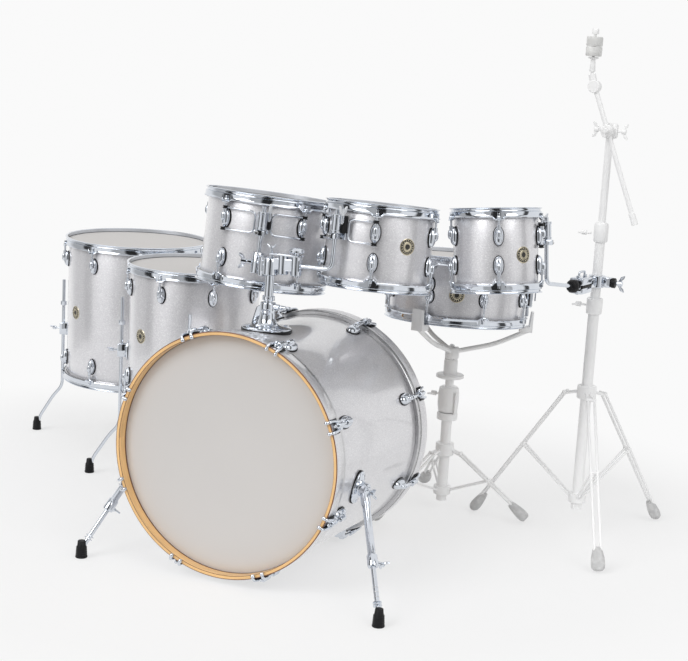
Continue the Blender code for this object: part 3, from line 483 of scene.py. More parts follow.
class Solid:
    """A piece being put together from closed parts, each with its finish."""

    def __init__(self, place=None, finish="chrome"):
        self.shape = bmesh.new()
        self.place = place or Matrix()
        self.finish = finish
        self.finishes = []

    def part(self, points, faces, place=Matrix(), finish=None):
        """Adds one closed part; finish is one name, or one for each face."""
        whole = self.place @ place
        corners = [self.shape.verts.new(whole @ Vector(point)) for point in points]
        finish = finish or self.finish
        names = [finish] * len(faces) if isinstance(finish, str) else finish
        made = []
        for indices, name in zip(faces, names):
            if name not in self.finishes:
                self.finishes.append(name)
            face = self.shape.faces.new([corners[k] for k in indices])
            face.material_index = self.finishes.index(name)
            made.append(face)
        bmesh.ops.recalc_face_normals(self.shape, faces=made)

    def lathe(self, profile, place=Matrix(), steps=48, finish=None):
        """Profile (radius, height) spun about local Z; it may be a function of the angle.
        An open end lies on the axis, otherwise the profile is closed."""
        turns = [TAU * k / steps for k in range(steps)]
        lines = [profile(a) if callable(profile) else profile for a in turns]
        size = len(lines[0])
        poles = [j for j in (0, size - 1) if lines[0][j][0] == 0.0]
        points = [(0.0, 0.0, lines[0][j][1]) for j in poles]
        index = {}
        for k, (angle, line) in enumerate(zip(turns, lines)):
            for j, (radius, height) in enumerate(line):
                if j in poles:
                    index[k, j] = poles.index(j)
                    continue
                index[k, j] = len(points)
                points.append((radius * math.cos(angle), radius * math.sin(angle), height))
        pairs = [(j, j + 1) for j in range(size - 1)]
        if not poles:
            pairs.append((size - 1, 0))
        names = finish if isinstance(finish, list) else [finish or self.finish] * len(pairs)
        faces = []
        kinds = []
        for k in range(steps):
            after = (k + 1) % steps
            for (a, b), name in zip(pairs, names):
                loop = [index[k, a], index[after, a], index[after, b], index[k, b]]
                faces.append([c for n, c in enumerate(loop) if c not in loop[:n]])
                kinds.append(name)
        self.part(points, faces, place, kinds)

    def turned(self, line, *args, **kwargs):
        """Lathe whose flat ends reach the axis."""
        self.lathe([(0, line[0][1]), *line, (0, line[-1][1])], *args, **kwargs)

    def rod(self, low, high, radius, sides, place=Matrix(), finish=None):
        """Round bar along local Z."""
        self.bar([(0, 0, low), (0, 0, high)], radius, sides, place, finish=finish)

    def bar(self, path, radius, sides=14, place=Matrix(), soft=0.8, finish=None):
        """Round bar along a path; radius is one number, or one for each point."""
        path = [Vector(p) for p in path]
        radii = [radius] * len(path) if isinstance(radius, (int, float)) else list(radius)
        if soft:
            start = (path[1] - path[0]).normalized() * soft
            end = (path[-1] - path[-2]).normalized() * soft
            path = [path[0], path[0] + start, *path[1:-1], path[-1] - end, path[-1]]
            radii = [radii[0] - soft, *radii, radii[-1] - soft]
        ahead = (path[1] - path[0]).normalized()
        side = ahead.orthogonal().normalized()
        spokes = [(math.cos(TAU * n / sides), math.sin(TAU * n / sides)) for n in range(sides)]
        points = []
        for k, centre in enumerate(path):
            before = path[k] - path[k - 1] if k else path[1] - path[0]
            after = path[k + 1] - path[k] if k + 1 < len(path) else before
            heading = (before.normalized() + after.normalized()).normalized()
            side = (side - heading * side.dot(heading)).normalized()
            other = heading.cross(side)
            points += [centre + radii[k] * (x * side + y * other) for x, y in spokes]
        faces = [[k * sides + n, k * sides + (n + 1) % sides, (k + 1) * sides + (n + 1) % sides,
                  (k + 1) * sides + n] for k in range(len(path) - 1) for n in range(sides)]
        faces += [list(range(sides)), [(len(path) - 1) * sides + n for n in range(sides)]]
        self.part(points, faces, place, finish)

    def cast(self, base, place, soft, finish):
        """Adds a small mesh with its edges rounded."""
        if soft:
            self.round_edges(base, base.edges[:], soft)
        base.verts.index_update()
        points = [v.co.copy() for v in base.verts]
        self.part(points, [[v.index for v in f.verts] for f in base.faces], place, finish)
        base.free()

    @staticmethod
    def round_edges(base, edges, soft):
        bmesh.ops.bevel(base, geom=edges, offset=soft, segments=2, profile=0.5, affect="EDGES",
                        clamp_overlap=True)

    def block(self, size, place=Matrix(), soft=1.2, finish=None):
        """Cuboid with rounded edges."""
        base = bmesh.new()
        bmesh.ops.create_cube(base, size=1.0, matrix=Matrix.Diagonal((*size, 1.0)))
        self.cast(base, place, soft, finish)

    def slab(self, outline, thickness, place=Matrix(), soft=0.8, finish=None):
        """Plate cut to an outline in local XY with rounded edges."""
        base = bmesh.new()
        low = base.faces.new([base.verts.new((x, y, -0.5 * thickness)) for x, y in outline])
        risen = bmesh.ops.extrude_face_region(base, geom=[low])
        bmesh.ops.translate(base, vec=(0, 0, thickness), verts=[v for v in risen["geom"]
                                                               if isinstance(v, bmesh.types.BMVert)])
        rims = [e for e in base.edges if abs(e.verts[0].co.z - e.verts[1].co.z) < 1e-6]
        self.round_edges(base, rims, soft)
        self.cast(base, place, 0.0, finish)

    def wing(self, place, span, tall, thick=4.5, finish=None):
        """Wing bolt: its paddles in local XY, its shank down local -Y."""
        self.slab([(0.5 * span * x, tall * y) for x, y in WING], thick, place, 1, finish)
        for low, high, radius, sides in ((-0.30, 0.62, 0.16 * span, 12), (-1.2, -0.2, 2.8, 10)):
            self.bar([(0, low * tall, 0), (0, high * tall, 0)], radius, sides, place, finish=finish)

    def mesh(self):
        """The finished mesh, smooth over gentle angles."""
        mesh = bpy.data.meshes.new("part")
        self.shape.to_mesh(mesh)
        self.shape.free()
        for finish in self.finishes:
            mesh.materials.append(FINISHES[finish])
        mesh.shade_smooth()
        mesh.set_sharp_from_angle(angle=SMOOTH_ANGLE)
        return mesh


def add_object(name, data):
    made = bpy.data.objects.new(name, data)
    bpy.context.scene.collection.objects.link(made)
    return made


def settle(name, parts, body, slot, *nodes):
    """Puts a solid, or several parts in one mesh, on its body in place of the CAD nodes it stands for."""
    made = add_object(name, in_metres(parts, name))
    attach(made, body)
    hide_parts(*nodes)


def rounded(points, bend, steps=6):
    """Path with its inner corners turned through arcs of about that length of tangent."""
    points = [Vector(p) for p in points]
    path = [points[0]]
    for before, corner, after in zip(points, points[1:], points[2:]):
        reach = min(bend, 0.45 * (corner - before).length, 0.45 * (after - corner).length)
        start = corner + reach * (before - corner).normalized()
        end = corner + reach * (after - corner).normalized()
        for k in range(steps + 1):
            t = k / steps
            path.append((1 - t) ** 2 * start + 2 * t * (1 - t) * corner + t * t * end)
    return path + [points[-1]]


# The nodes that repeat a fitting round a drum

def ring_tree():
    """Copies of a fitting round local Z, in one row or in two that mirror each other."""
    tree = bpy.data.node_groups.new("fittings_round_a_drum", "GeometryNodeTree")
    for name, kind in (("Fitting", "Geometry"), ("Count", "Int"), ("Start angle", "Float"), ("Rows", "Int"),
                       ("Finish", "Material")):
        tree.interface.new_socket(name, in_out="INPUT", socket_type=f"NodeSocket{kind}")
    tree.interface.new_socket("Ring", in_out="OUTPUT", socket_type="NodeSocketGeometry")
    net = Nodes(tree)
    given = tree.nodes.new("NodeGroupInput").outputs
    count, rows = given["Count"], given["Rows"]
    index = net.value("GeometryNodeInputIndex")
    step = net.node("ShaderNodeMath", {"operation": "DIVIDE"}, {0: TAU, 1: count})
    angle = index.math("DIVIDE", rows).math("FLOOR").math("MULTIPLY_ADD", step, given["Start angle"])
    flip = index.math("MODULO", rows) * math.pi
    euler = net.node("ShaderNodeCombineXYZ", {}, {0: flip, 2: angle})
    heading = net.node("FunctionNodeEulerToRotation", {}, {0: euler})
    points = net.node("GeometryNodePoints", {}, {"Count": Value(net, count) * rows})
    inputs = {"Points": points, "Instance": given["Fitting"], "Rotation": heading}
    copies = net.node("GeometryNodeInstanceOnPoints", {}, inputs)
    solid = net.node("GeometryNodeRealizeInstances", {}, {0: copies})
    painted = net.node("GeometryNodeSetMaterial", {}, {"Geometry": solid, "Material": given["Finish"]})
    tree.links.new(painted, tree.nodes.new("NodeGroupOutput").inputs[0])
    return tree


def ringed(fitting, place, count, first, rows=1):
    """Mesh of a fitting's copies round a drum; first is the azimuth of the first one."""
    tree = bpy.data.node_groups.get("fittings_round_a_drum") or ring_tree()
    sockets = {s.name: s.identifier for s in tree.interface.items_tree if s.in_out == "INPUT"}
    host = add_object("fitting", fitting.mesh())
    nodes = host.modifiers.new("ring", "NODES")
    nodes.node_group = tree
    values = {"Count": count, "Start angle": angle_of(first), "Rows": rows,
              "Finish": FINISHES[fitting.finishes[0]]}
    for name, value in values.items():
        nodes[sockets[name]] = value
    bpy.context.view_layer.update()
    mesh = bpy.data.meshes.new_from_object(host.evaluated_get(bpy.context.evaluated_depsgraph_get()))
    host.modifiers.clear()
    bpy.data.objects.remove(host, do_unlink=True)
    mesh.transform(place)
    return mesh


def joined(parts):
    """One mesh from several solids or meshes, each keeping its finish."""
    finishes = []
    shape = bmesh.new()
    for part in parts:
        mesh = part.mesh() if isinstance(part, Solid) else part
        before = len(shape.faces)
        shape.from_mesh(mesh)
        shape.faces.ensure_lookup_table()
        for material in mesh.materials:
            if material not in finishes:
                finishes.append(material)
        for face in shape.faces[before:]:
            face.material_index = finishes.index(mesh.materials[face.material_index])
    whole = bpy.data.meshes.new("whole")
    shape.to_mesh(whole)
    shape.free()
    for material in finishes:
        whole.materials.append(material)
    return whole


def in_metres(parts, name):
    """Mesh of a solid, or of several parts, in the frame's own units."""
    mesh = parts.mesh() if isinstance(parts, Solid) else joined(parts)
    mesh.name = name
    mesh.transform(Matrix.Diagonal((MM, MM, MM, 1.0)))
    return mesh


# Parts shared by the drums

def lug_rows(place, count, first, radius, row, tall, wide, deep, receiver):
    """Rings of domed oval lugs, each with a raised teardrop, and of their gaskets, in two mirrored rows."""
    gasket = size("gasket")
    seat = shift(radius, 0, row) @ QUARTER_Y
    teardrop = shift(-0.10 * tall, 0, 0) @ oval(0.27 * tall, 0.27 * wide)
    lug = Solid(seat)
    lug.lathe([(0, gasket * 0.6), (1.0, gasket * 0.6), (1.0, gasket + 1.8), (0.975, gasket + 3.6),
               (0.90, 0.42 * deep), (0.78, 0.53 * deep), (0.60, 0.62 * deep), (0.35, 0.68 * deep),
               (0, 0.70 * deep)], oval(0.5 * tall, 0.5 * wide), 36)
    lug.lathe([(0, 0.2 * deep), (1.0, 0.2 * deep), (1.0, 0.68 * deep), (0.94, 0.80 * deep),
               (0.78, 0.91 * deep), (0.48, 0.98 * deep), (0, deep)], teardrop, 28)
    if receiver:
        lug.bar([(-0.20 * tall, 0, ROD_OFFSET), (-0.5 * tall - 2.2, 0, ROD_OFFSET)], 5, 16)
    pad = Solid(seat, "rubber")
    pad.turned([(1.0, -4), (1.0, 0.7 * gasket), (0.96, gasket)], oval(0.5 * tall + 1.8, 0.5 * wide + 1.8), 36)
    return [ringed(part, place, count, first, 2) for part in (lug, pad)]


def tension_rod(radius, low, seat):
    """Rod from its lug to its square head, with a washer on the hoop's ear."""
    solid = Solid(shift(radius, 0, 0))
    solid.rod(low, seat + 3, 2.7, 12)
    solid.turned([(5.8, seat), (5.8, seat + 1), (4.2, seat + 1.6), (4.2, seat + 6.2), (3.696, seat + 7)],
                 steps=20)
    solid.block((5.25, 5.25, 7.5), up(seat + 10), 0.6)
    return solid


def hoop_section(radius, half, ears):
    """Section of a flanged hoop at each angle: wider and lower at its ears."""
    top = half + DRUM_EDGE
    ear_half = EAR_WIDTH / radius

    def section(angle):
        away = min(abs((angle - ear + math.pi) % TAU - math.pi) for ear in ears)
        share = max(0, min(1.0, 1.6 * (1.0 - away / ear_half)))
        share = share * share * (3.0 - 2.0 * share)
        rim = 11.6 + size("hoop_ear") * share
        foot = half - HOOP_DEPTH + 6.6 * (1.0 - share)
        line = [(3.4, top - 1.1), (4.6, top), (9, top), (10.3, top - 1), (9.2, top - 2.1), (6.6, top - 2.8),
                (5.9, top - 4.2), (5.8, half + 5), (6.4, half + 3.8), (8, half + 3.4), (9, half + 2.4),
                (9.2, max(foot + 4.2, half - 6 - 10 * share)), (9.9, foot + 3.8), (rim - 0.6, foot + 2.2),
                (rim, foot + 1.2), (rim - 0.6, foot), (8.2, foot + 1.2), (7.2, foot + 4.2), (6.9, half + 1),
                (3.6, half + 2.2)]
        return around(radius, line)
    return section


def add_badge(solid, radius, azimuth, height):
    """Plain round badge curved with the shell: enamel field between two raised rings and a row of beads."""
    place = at_azimuth(azimuth) @ shift(radius, 0, height) @ QUARTER_Y
    r = 0.5 * size("badge")
    edge = r * r / (2.0 * radius)

    def drop(share, angle):
        return edge * (share * math.sin(angle)) ** 2

    def section(angle):
        line = [(0.32, 0.9), (0.36, 1.4), (0.56, 1.4), (0.60, 0.9), (0.88, 0.9), (0.93, 1.3), (1.0, 0.4)]
        return [(0, 0.9), *((r * share, z - drop(share, angle)) for share, z in line), (r, -4), (0, -4)]
    solid.lathe(section, place, 48, ["ink", *["brass"] * 3, "ink", *["brass"] * 4])
    for k in range(BADGE_BEADS):
        angle = TAU * k / BADGE_BEADS
        bead = place @ turn(angle) @ shift(BEAD_RING * r, 0, -drop(BEAD_RING, angle))
        solid.lathe([(0, 0), (1.5, 0), (1.5, 1), (0.8, 1.6), (0, 1.7)], bead, 10, "brass")


def film_head(radius, half, place, finish, steps):
    """Film drawn over the bearing edge into its metal ring."""
    solid = Solid(place)
    low = half + GAP
    high = low + 1
    outer = radius + 4.6
    skin = [(0, high), (radius - 18, high), (radius - 6, high - 0.1), (radius - 1, high - 0.3),
            (outer, high - 1), (outer, low - 6), (outer - 0.7, low - 6), (outer - 0.7, low - 0.4),
            (radius - 1.2, low - 0.2), (0, low - 0.2)]
    solid.lathe(skin, steps=steps, finish=finish)
    ring = [(0.9, low - 10.5), (5.8, low - 10.5), (5.8, low - 4), (4.8, low - 3.4), (0.9, low - 4)]
    solid.lathe(around(radius, ring), steps=steps, finish="ring")
    return solid


def dress_drum(tag):
    """Shell, lugs, heads, hoops and rods of one drum."""
    drum = DRUMS[tag]
    radius, half, body = drum.radius, drum.half, drum.body
    steps = bpy.context.scene.kit_sizes.round_steps
    shell = Solid(drum.place)
    section = [(0, half - 3), (-1, half - 1), (-3, half), (-DRUM_WALL, half - 3.5), (-DRUM_WALL, 3.5 - half),
               (-3, -half), (-1, 1 - half), (0, 3 - half)]
    shell.lathe(around(radius, section), steps=steps, finish=["ply"] * 7 + ["lacquer"])
    if drum.badge is not None:
        add_badge(shell, radius, *drum.badge)
    settle(f"{tag}_lacquered_shell", shell, body, "silver_sparkle", f"{tag}_shell")
    row, tall = (15, 36) if tag == "snare" else (half - LUG_FROM_EDGE, size("lug_height"))
    lugs = lug_rows(drum.place, drum.lugs, drum.first, radius, row, tall, size("lug_width"), deep=20,
                    receiver=True)
    settle(f"{tag}_lugs", lugs, body, "chrome", f"{tag}_shell")
    sides = (("batter", Matrix(), drum.first, 1, "coated"),
             ("resonant", turn(math.pi, "X"), 180.0 - drum.first, -1, "clear"))
    for side, flip, first, way, film_kind in sides:
        ears = [way * angle_of(azimuth) for azimuth in evenly(drum.lugs, drum.first)]
        seat = drum.place @ flip
        hoop = Solid(seat)
        hoop.lathe(hoop_section(radius, half, ears), steps=3 * steps // 2 * 2)
        rod = tension_rod(radius + ROD_OFFSET, row + 0.5 * tall, half - HOOP_DEPTH + 3.2)
        node = f"{tag}_{side}_hoop"
        settle(f"{tag}_{side}_flanged_hoop", [hoop, ringed(rod, seat, drum.lugs, first)], body, "chrome",
               node)
        if side == "batter" or tag not in FLOOR_LEGS:
            node = f"{tag}_{side}_head"
        settle(f"{tag}_{side}_film", film_head(radius, half, seat, film_kind, steps), body,
               f"{film_kind}_head", node)


# Bass drum

def bass_claw():
    """Two ball-ended fingers over the hoop's face and their yoke."""
    solid = Solid(shift(BASS_HOOP_OUT, 0, 0))
    for y in (-CLAW_FINGER, CLAW_FINGER):
        path = [(6, 0.4 * y, -30), (6.8, 0.8 * y, -20), (5.2, y, -6), (3.8, y, 1.8), (-1, y, 4.8),
                (-6, y, 4.2)]
        solid.bar(rounded(path, 6, 3), 3.7, 10)
        solid.lathe([(0, -5.2), (3.2, -4.4), (5.2, -1.6), (5.2, 1.6), (3.2, 4.4), (0, 5.2)],
                    shift(-6.6, y, 4) @ QUARTER_Y, 16)
    solid.block((10, 24, 15), shift(6.8, 0, -26.2), 3)
    solid.rod(-40, -16, 7.2, 18, shift(BASS_ROD_RADIUS - BASS_HOOP_OUT, 0, 0))
    return solid


def claw_pad():
    """Rubber under a claw's fingers and yoke."""
    solid = Solid(shift(BASS_HOOP_OUT, 0, 0), "rubber")
    for y in (-CLAW_FINGER, CLAW_FINGER):
        solid.block((3, 9.6, 28), shift(1.3, y, -17), 1)
    solid.block((3.4, 24, 14), shift(1.5, 0, -27), 1)
    return solid


def dress_bass():
    """Shell, lugs, spur plates, wooden hoops with their claws and rods, and heads."""
    edge = 0.5 * (BASS_LENGTH - BASS_SHELL_LENGTH)
    steps = 3 * bpy.context.scene.kit_sizes.round_steps // 2
    shell = Solid(PLACE_BASS)
    rear = edge - BASS_LENGTH
    section = [(0, -edge - 4), (-3.5, -edge), (-BASS_WALL, -edge - 4), (-BASS_WALL, rear + 4), (-3.5, rear),
               (0, rear + 4)]
    shell.lathe(around(BASS_RADIUS, section), steps=steps, finish=["ply"] * 5 + ["lacquer"])
    settle("bass_lacquered_shell", shell, "kit_base", "silver_sparkle", "bass_shell")
    place = PLACE_BASS @ up(-0.5 * BASS_LENGTH)
    row = 0.5 * BASS_LENGTH - BASS_LUG_DEPTH
    sleeve = Solid()
    sleeve.rod(row + 6, row + 26.2, 6.2, 18, shift(BASS_ROD_RADIUS, 0, 0))
    lugs = lug_rows(place, *BASS_LUGS, BASS_RADIUS, row, tall=54, wide=28, deep=23, receiver=False)
    lugs.append(ringed(sleeve, place, *BASS_LUGS, 2))
    settle("bass_lugs", lugs, "kit_base", "chrome", "bass_shell")
    plates = Solid(PLACE_BASS)
    for angle in (SPUR_ANGLE, math.pi - SPUR_ANGLE):
        seat = turn(angle) @ shift(BASS_RADIUS, 0, -SPUR_DEPTH) @ QUARTER_Y
        plates.turned([(1.04, -4), (1.04, 1.6), (1.0, 2.4)], seat @ oval(27, 40), 40, "rubber")
        plates.turned([(1.0, 1.8), (1.0, 4.5), (0.96, 6.2), (0.62, 9.2), (0.56, 12)], seat @ oval(27, 40), 40)
        for y in (-32, 32):
            plates.rod(3, 8.5, 4.2, 12, seat @ shift(0, y, 0))
    settle("bass_spur_plates", plates, "kit_base", "chrome", "bass_shell")
    inner, outer, wide, ring = BASS_HOOP_IN, BASS_HOOP_OUT, BASS_HOOP_WIDTH, BASS_RING_OUT
    low = GAP - edge
    behind = -wide - GAP
    for end, seat in (("front", PLACE_BASS), ("rear", BASS_REAR)):
        hoop = Solid(seat)
        section = [(inner, -1.2), (inner + 1, -0.2), (outer - 2.2, 0), (outer - 0.8, -0.4), (outer, -1.4),
                   (outer, 2 - wide), (outer - 1.4, -wide), (inner + 1.2, -wide), (inner, 1.4 - wide),
                   (inner, -edge + 3.2)]
        # Painted highlight: the rear outer chamfer of each hoop takes the pale ring metal.
        # Painted shade: the rear face and inner rear chamfer of each hoop take the dark enamel.
        finish = ["line", "maple", "line", "line", "lacquer", "ring", "ink", "ink", "line", "maple"]
        hoop.lathe(section, steps=steps, finish=finish)
        rod = Solid(shift(BASS_ROD_RADIUS, 0, 0))
        rod.rod(-BASS_LUG_DEPTH + 24, -12, 3.4, 12)
        rod.block((6.2, 6.2, 9), up(-8.5), 0.8)
        fittings = [ringed(part, seat, *BASS_LUGS) for part in (rod, bass_claw(), claw_pad())]
        settle(f"bass_{end}_wood_hoop", [hoop, *fittings], "kit_base", "maple_hoop", f"bass_{end}_hoop")
        head = Solid(seat, "coated")
        head.lathe([(0, low + 1.2), (inner - 20, low + 1.2), (inner - 10, low + 0.8), (inner - GAP, low - 1),
                    (inner - GAP, behind), (inner, behind - 1), (inner - 1, behind - 1),
                    (inner - 1.2, low - 2), (0, low)], steps=steps)
        head.lathe([(BASS_RADIUS + GAP, behind), (ring, behind), (ring, behind - 9.5),
                    (ring - 1.5, behind - 11), (BASS_RADIUS + GAP, behind - 11)], steps=steps, finish="ring")
        settle(f"bass_{end}_film", head, "kit_base", "coated_head", f"bass_{end}_head")


def rubber_foot(place, radius, height, ribs=5):
    """Ribbed rubber foot standing on local Z = 0."""
    solid = Solid(place, "rubber")
    line = [(0, 0), (radius - 1, 0), (radius, 1.2)]
    for k in range(ribs):
        low = 1.2 + (height * 0.62) * k / ribs
        high = 1.2 + (height * 0.62) * (k + 1) / ribs
        r = radius - 0.10 * radius * (k + 1) / ribs
        line += [(r, low + 0.7 * (high - low)), (r - 1, low + 0.8 * (high - low)), (r - 1, high)]
    line += [(0.72 * radius, 0.72 * height), (0.64 * radius, height - 1), (0.58 * radius, height),
             (0, height)]
    solid.lathe(line, steps=32)
    return solid


def dress_spur(side):
    """Knuckle, stepped tube with its wing screw, and the sliding leg."""
    right = side == "right"
    out = PLACE_BASS @ turn(SPUR_ANGLE if right else math.pi - SPUR_ANGLE)
    hinge = out @ Vector((BASS_RADIUS + SPUR_HINGE_OUT, 0, -SPUR_DEPTH))
    outward = out.to_3x3() @ Vector((1, 0, 0))
    floor_point = spot(*SPUR_FEET[side])
    tip = floor_point + 22 * UP
    reach = (tip - hinge).length
    end = SPUR_TUBE_SHARE * reach
    spur = facing((tip - hinge).normalized(), hinge)
    tube = Solid()
    tube.lathe([(0, 0), (17, 0), (17.5, 1), (17.5, 15), (16, 16.6), (11, 17.2), (10.5, 20), (0, 20.5)],
               facing(outward, hinge - 8.5 * outward), 28)
    handle = facing(outward, hinge + 12.5 * outward) @ QUARTER_X
    tube.wing(handle @ shift(0, 6, 0) @ turn(math.radians(35), "Y"), 36, 13)
    tube.turned([(11.5, 6), (11.8, 10), (11.8, 40), (9.4, 44), (9.2, end - 34), (11.2, end - 31),
                 (12.5, end - 28), (12.8, end - 4), (11.8, end - 1), (7.5, end), (6.6, end), (6.6, end - 4)],
                spur, 28)
    screw = spur @ up(end - 14) @ turn(math.radians(150 if right else 60))
    tube.wing(screw @ shift(0, 26, 0), 34, 12)
    tube.turned([(5.2, 10), (5.2, 20)], screw @ BACK_X, 14)
    settle(f"spur_{side}_upper", tube, f"spur_{side}_tube", "chrome", f"spur_{side}_tube")
    leg = Solid(spur)
    leg.rod(end - 60, reach, 6, 18)
    for z in (reach - 36, reach - 29):
        leg.lathe([(0, z), (10, z), (10.4, z + 0.8), (10.4, z + 2.2), (0, z + 3)], steps=24)
    for z in (reach - 48, reach - 60, reach - 72):
        leg.turned([(6.4, z), (6.4, z + 1.2)], steps=18, finish="ring")
    foot = rubber_foot(shift(floor_point), 14.5, 42)
    settle(f"spur_{side}_rod", [leg, foot], f"spur_{side}_leg", "chrome", f"spur_{side}_leg")


# Floor drums' legs

def dress_legs(tag):
    """Brackets on the shell, and the bent rods that slide in them."""
    azimuths, clamp_z, reach = FLOOR_LEGS[tag]
    drum = DRUMS[tag]
    floor_z = -drum.place.translation.z - clamp_z
    knee = floor_z + LEG_KNEE
    stride = reach - drum.radius - LEG_OFFSET
    brackets = Solid(drum.place)
    for number, azimuth in enumerate(azimuths, 1):
        at = at_azimuth(azimuth) @ shift(drum.radius, 0, clamp_z)
        plate = at @ QUARTER_Y @ oval(29, 19)
        brackets.turned([(1.05, -4), (1.05, 1.4), (1.0, 2)], plate, 36, "rubber")
        brackets.lathe([(0, 1.5), (1.0, 1.5), (1.0, 4), (0.94, 5.8), (0.70, 8.5), (0, 9)], plate, 36)
        brackets.block((26, 24, 37), at @ shift(18.5, 0, 0), 3.5)
        brackets.wing(at @ shift(47, 0, 0) @ BACK_Z @ turn(math.radians(25), "Y"), 34, 12)
        out = drum.place @ at @ shift(LEG_OFFSET, 0, 0)
        leg = Solid(out)
        path = [(0, 0, LEG_ABOVE), (0, 0, knee), (0.35 * stride, 0, knee - 32),
                (stride - 10, 0, floor_z + 45), (stride - 3, 0, floor_z + 20)]
        leg.bar(rounded(path, 20), 4.8, 16)
        leg.turned([(8.8, 0), (9.2, 0.8), (9.2, 10.8), (8.4, 11.8)], up(LEG_LOCK), 24)
        node = f"{tag}_leg_{number}"
        foot = rubber_foot(out @ shift(stride, 0, floor_z), 13.5, 40)
        settle(f"{tag}_bent_leg_{number}", [leg, foot], node, "chrome", node)
    settle(f"{tag}_leg_brackets", brackets, "kit_base", "chrome", f"{tag}_shell")


# Tom suspension

def rod_frame(tag, height):
    """Frame at a height on the axis of a tom's hanger rod."""
    drum = DRUMS[tag]
    return drum.place @ at_azimuth(HANGERS[tag][0]) @ shift(drum.radius + ARM_OFFSET, 0, height)


def rod_point(tag, height):
    return rod_frame(tag, height).translation


def memory_lock(solid, tag):
    """Square collar under the clamp that marks the rod's height, closed by a key screw."""
    place = rod_frame(tag, HANGERS[tag][1] - 29)
    solid.block((20, 25, 13), place @ shift(1, -4, 0), 2.2)
    solid.turned([(4.6, 0), (4.6, 3), (3.4, 4)], place @ shift(10.5, -10, 0) @ QUARTER_Y, 16, "ring")


def hanger_loop(solid, place, azimuth, side, radius, near, far):
    """Bar that runs over a lug, turns down beside the clamp and comes back under the lug."""
    corner = math.degrees(11 / radius)
    path = [(far + (near + corner - far) * k / 8.0, BAND_RISE) for k in range(9)]
    path += [(near + 0.3 * corner, BAND_RISE - 3), (near, BAND_RISE - 10)]
    path += [(a, -z) for a, z in reversed(path)]
    solid.bar([at_azimuth(azimuth + side * a) @ Vector((radius, 0, z)) for a, z in path], 2.5, 12, place)


def dress_hanger(tag):
    """Two bars bent round the drum from lug to lug, with the rod's clamp between them."""
    drum = DRUMS[tag]
    azimuth, clamp_z = HANGERS[tag][:2]
    radius = drum.radius
    row = drum.half - LUG_FROM_EDGE
    step = 180.0 / drum.lugs
    solid = Solid(drum.place)
    for side in (-1, 1):
        hanger_loop(solid, up(row), azimuth, side, radius + BAND_OUT, math.degrees(19 / radius),
                    step - math.degrees(6 / radius))
        for rise in (-BAND_RISE, BAND_RISE):
            ear = at_azimuth(azimuth + side * step) @ shift(radius + BAND_OUT, 0, row + rise)
            solid.turned([(6.6, -3.6), (7, -2.4), (5.4, 0), (7, 2.4), (6.6, 3.6)], ear, 20, "rubber")
            solid.turned([(3.6, -4.6), (3.6, 4.6)], ear, 16)
    at = at_azimuth(azimuth)
    solid.block((4, 30, 48), at @ shift(radius + BAND_OUT, 0, row), 1.8)
    solid.block((13, 30, 40), at @ shift(radius + 17, 4, clamp_z), 2, "rubber")
    barrel = at @ shift(radius + ARM_OFFSET, 0, clamp_z)
    solid.turned([(12, -21.5), (13, -20.5), (13, -16), (11.8, -15), (11.8, 15), (13, 16), (13, 20.5),
                  (12, 21.5)], barrel, 32)
    for z in (-9, 9):
        solid.bar([(-16, 0, z), (-4, 0, z)], 4.2, 12, barrel)
    screw = barrel @ shift(-2, 15, 15)
    solid.rod(-12, 6, 4.6, 12, screw)
    solid.wing(screw @ up(8) @ QUARTER_X, 26, 19, finish="nylon")
    settle(f"{tag}_hanger_frame", solid, drum.body, "chrome", f"{tag}_hanger")


def dress_sleeve(arm):
    """Sleeve and wing screw round the bend of the largest tom's rod."""
    bend = rod_frame("tom12", HANGERS["tom12"][2])
    arm.turned([(13, -23), (14.5, -21.5), (14.5, 25), (13, 27)], bend, 32)
    arm.turned([(6.2, 0), (6.2, 10)], bend @ shift(0, -12, 2) @ QUARTER_X, 16)
    arm.wing(bend @ shift(0, -30, 2) @ turn(math.pi, "Z") @ turn(math.radians(65), "Y"), 42, 15, 5.5)


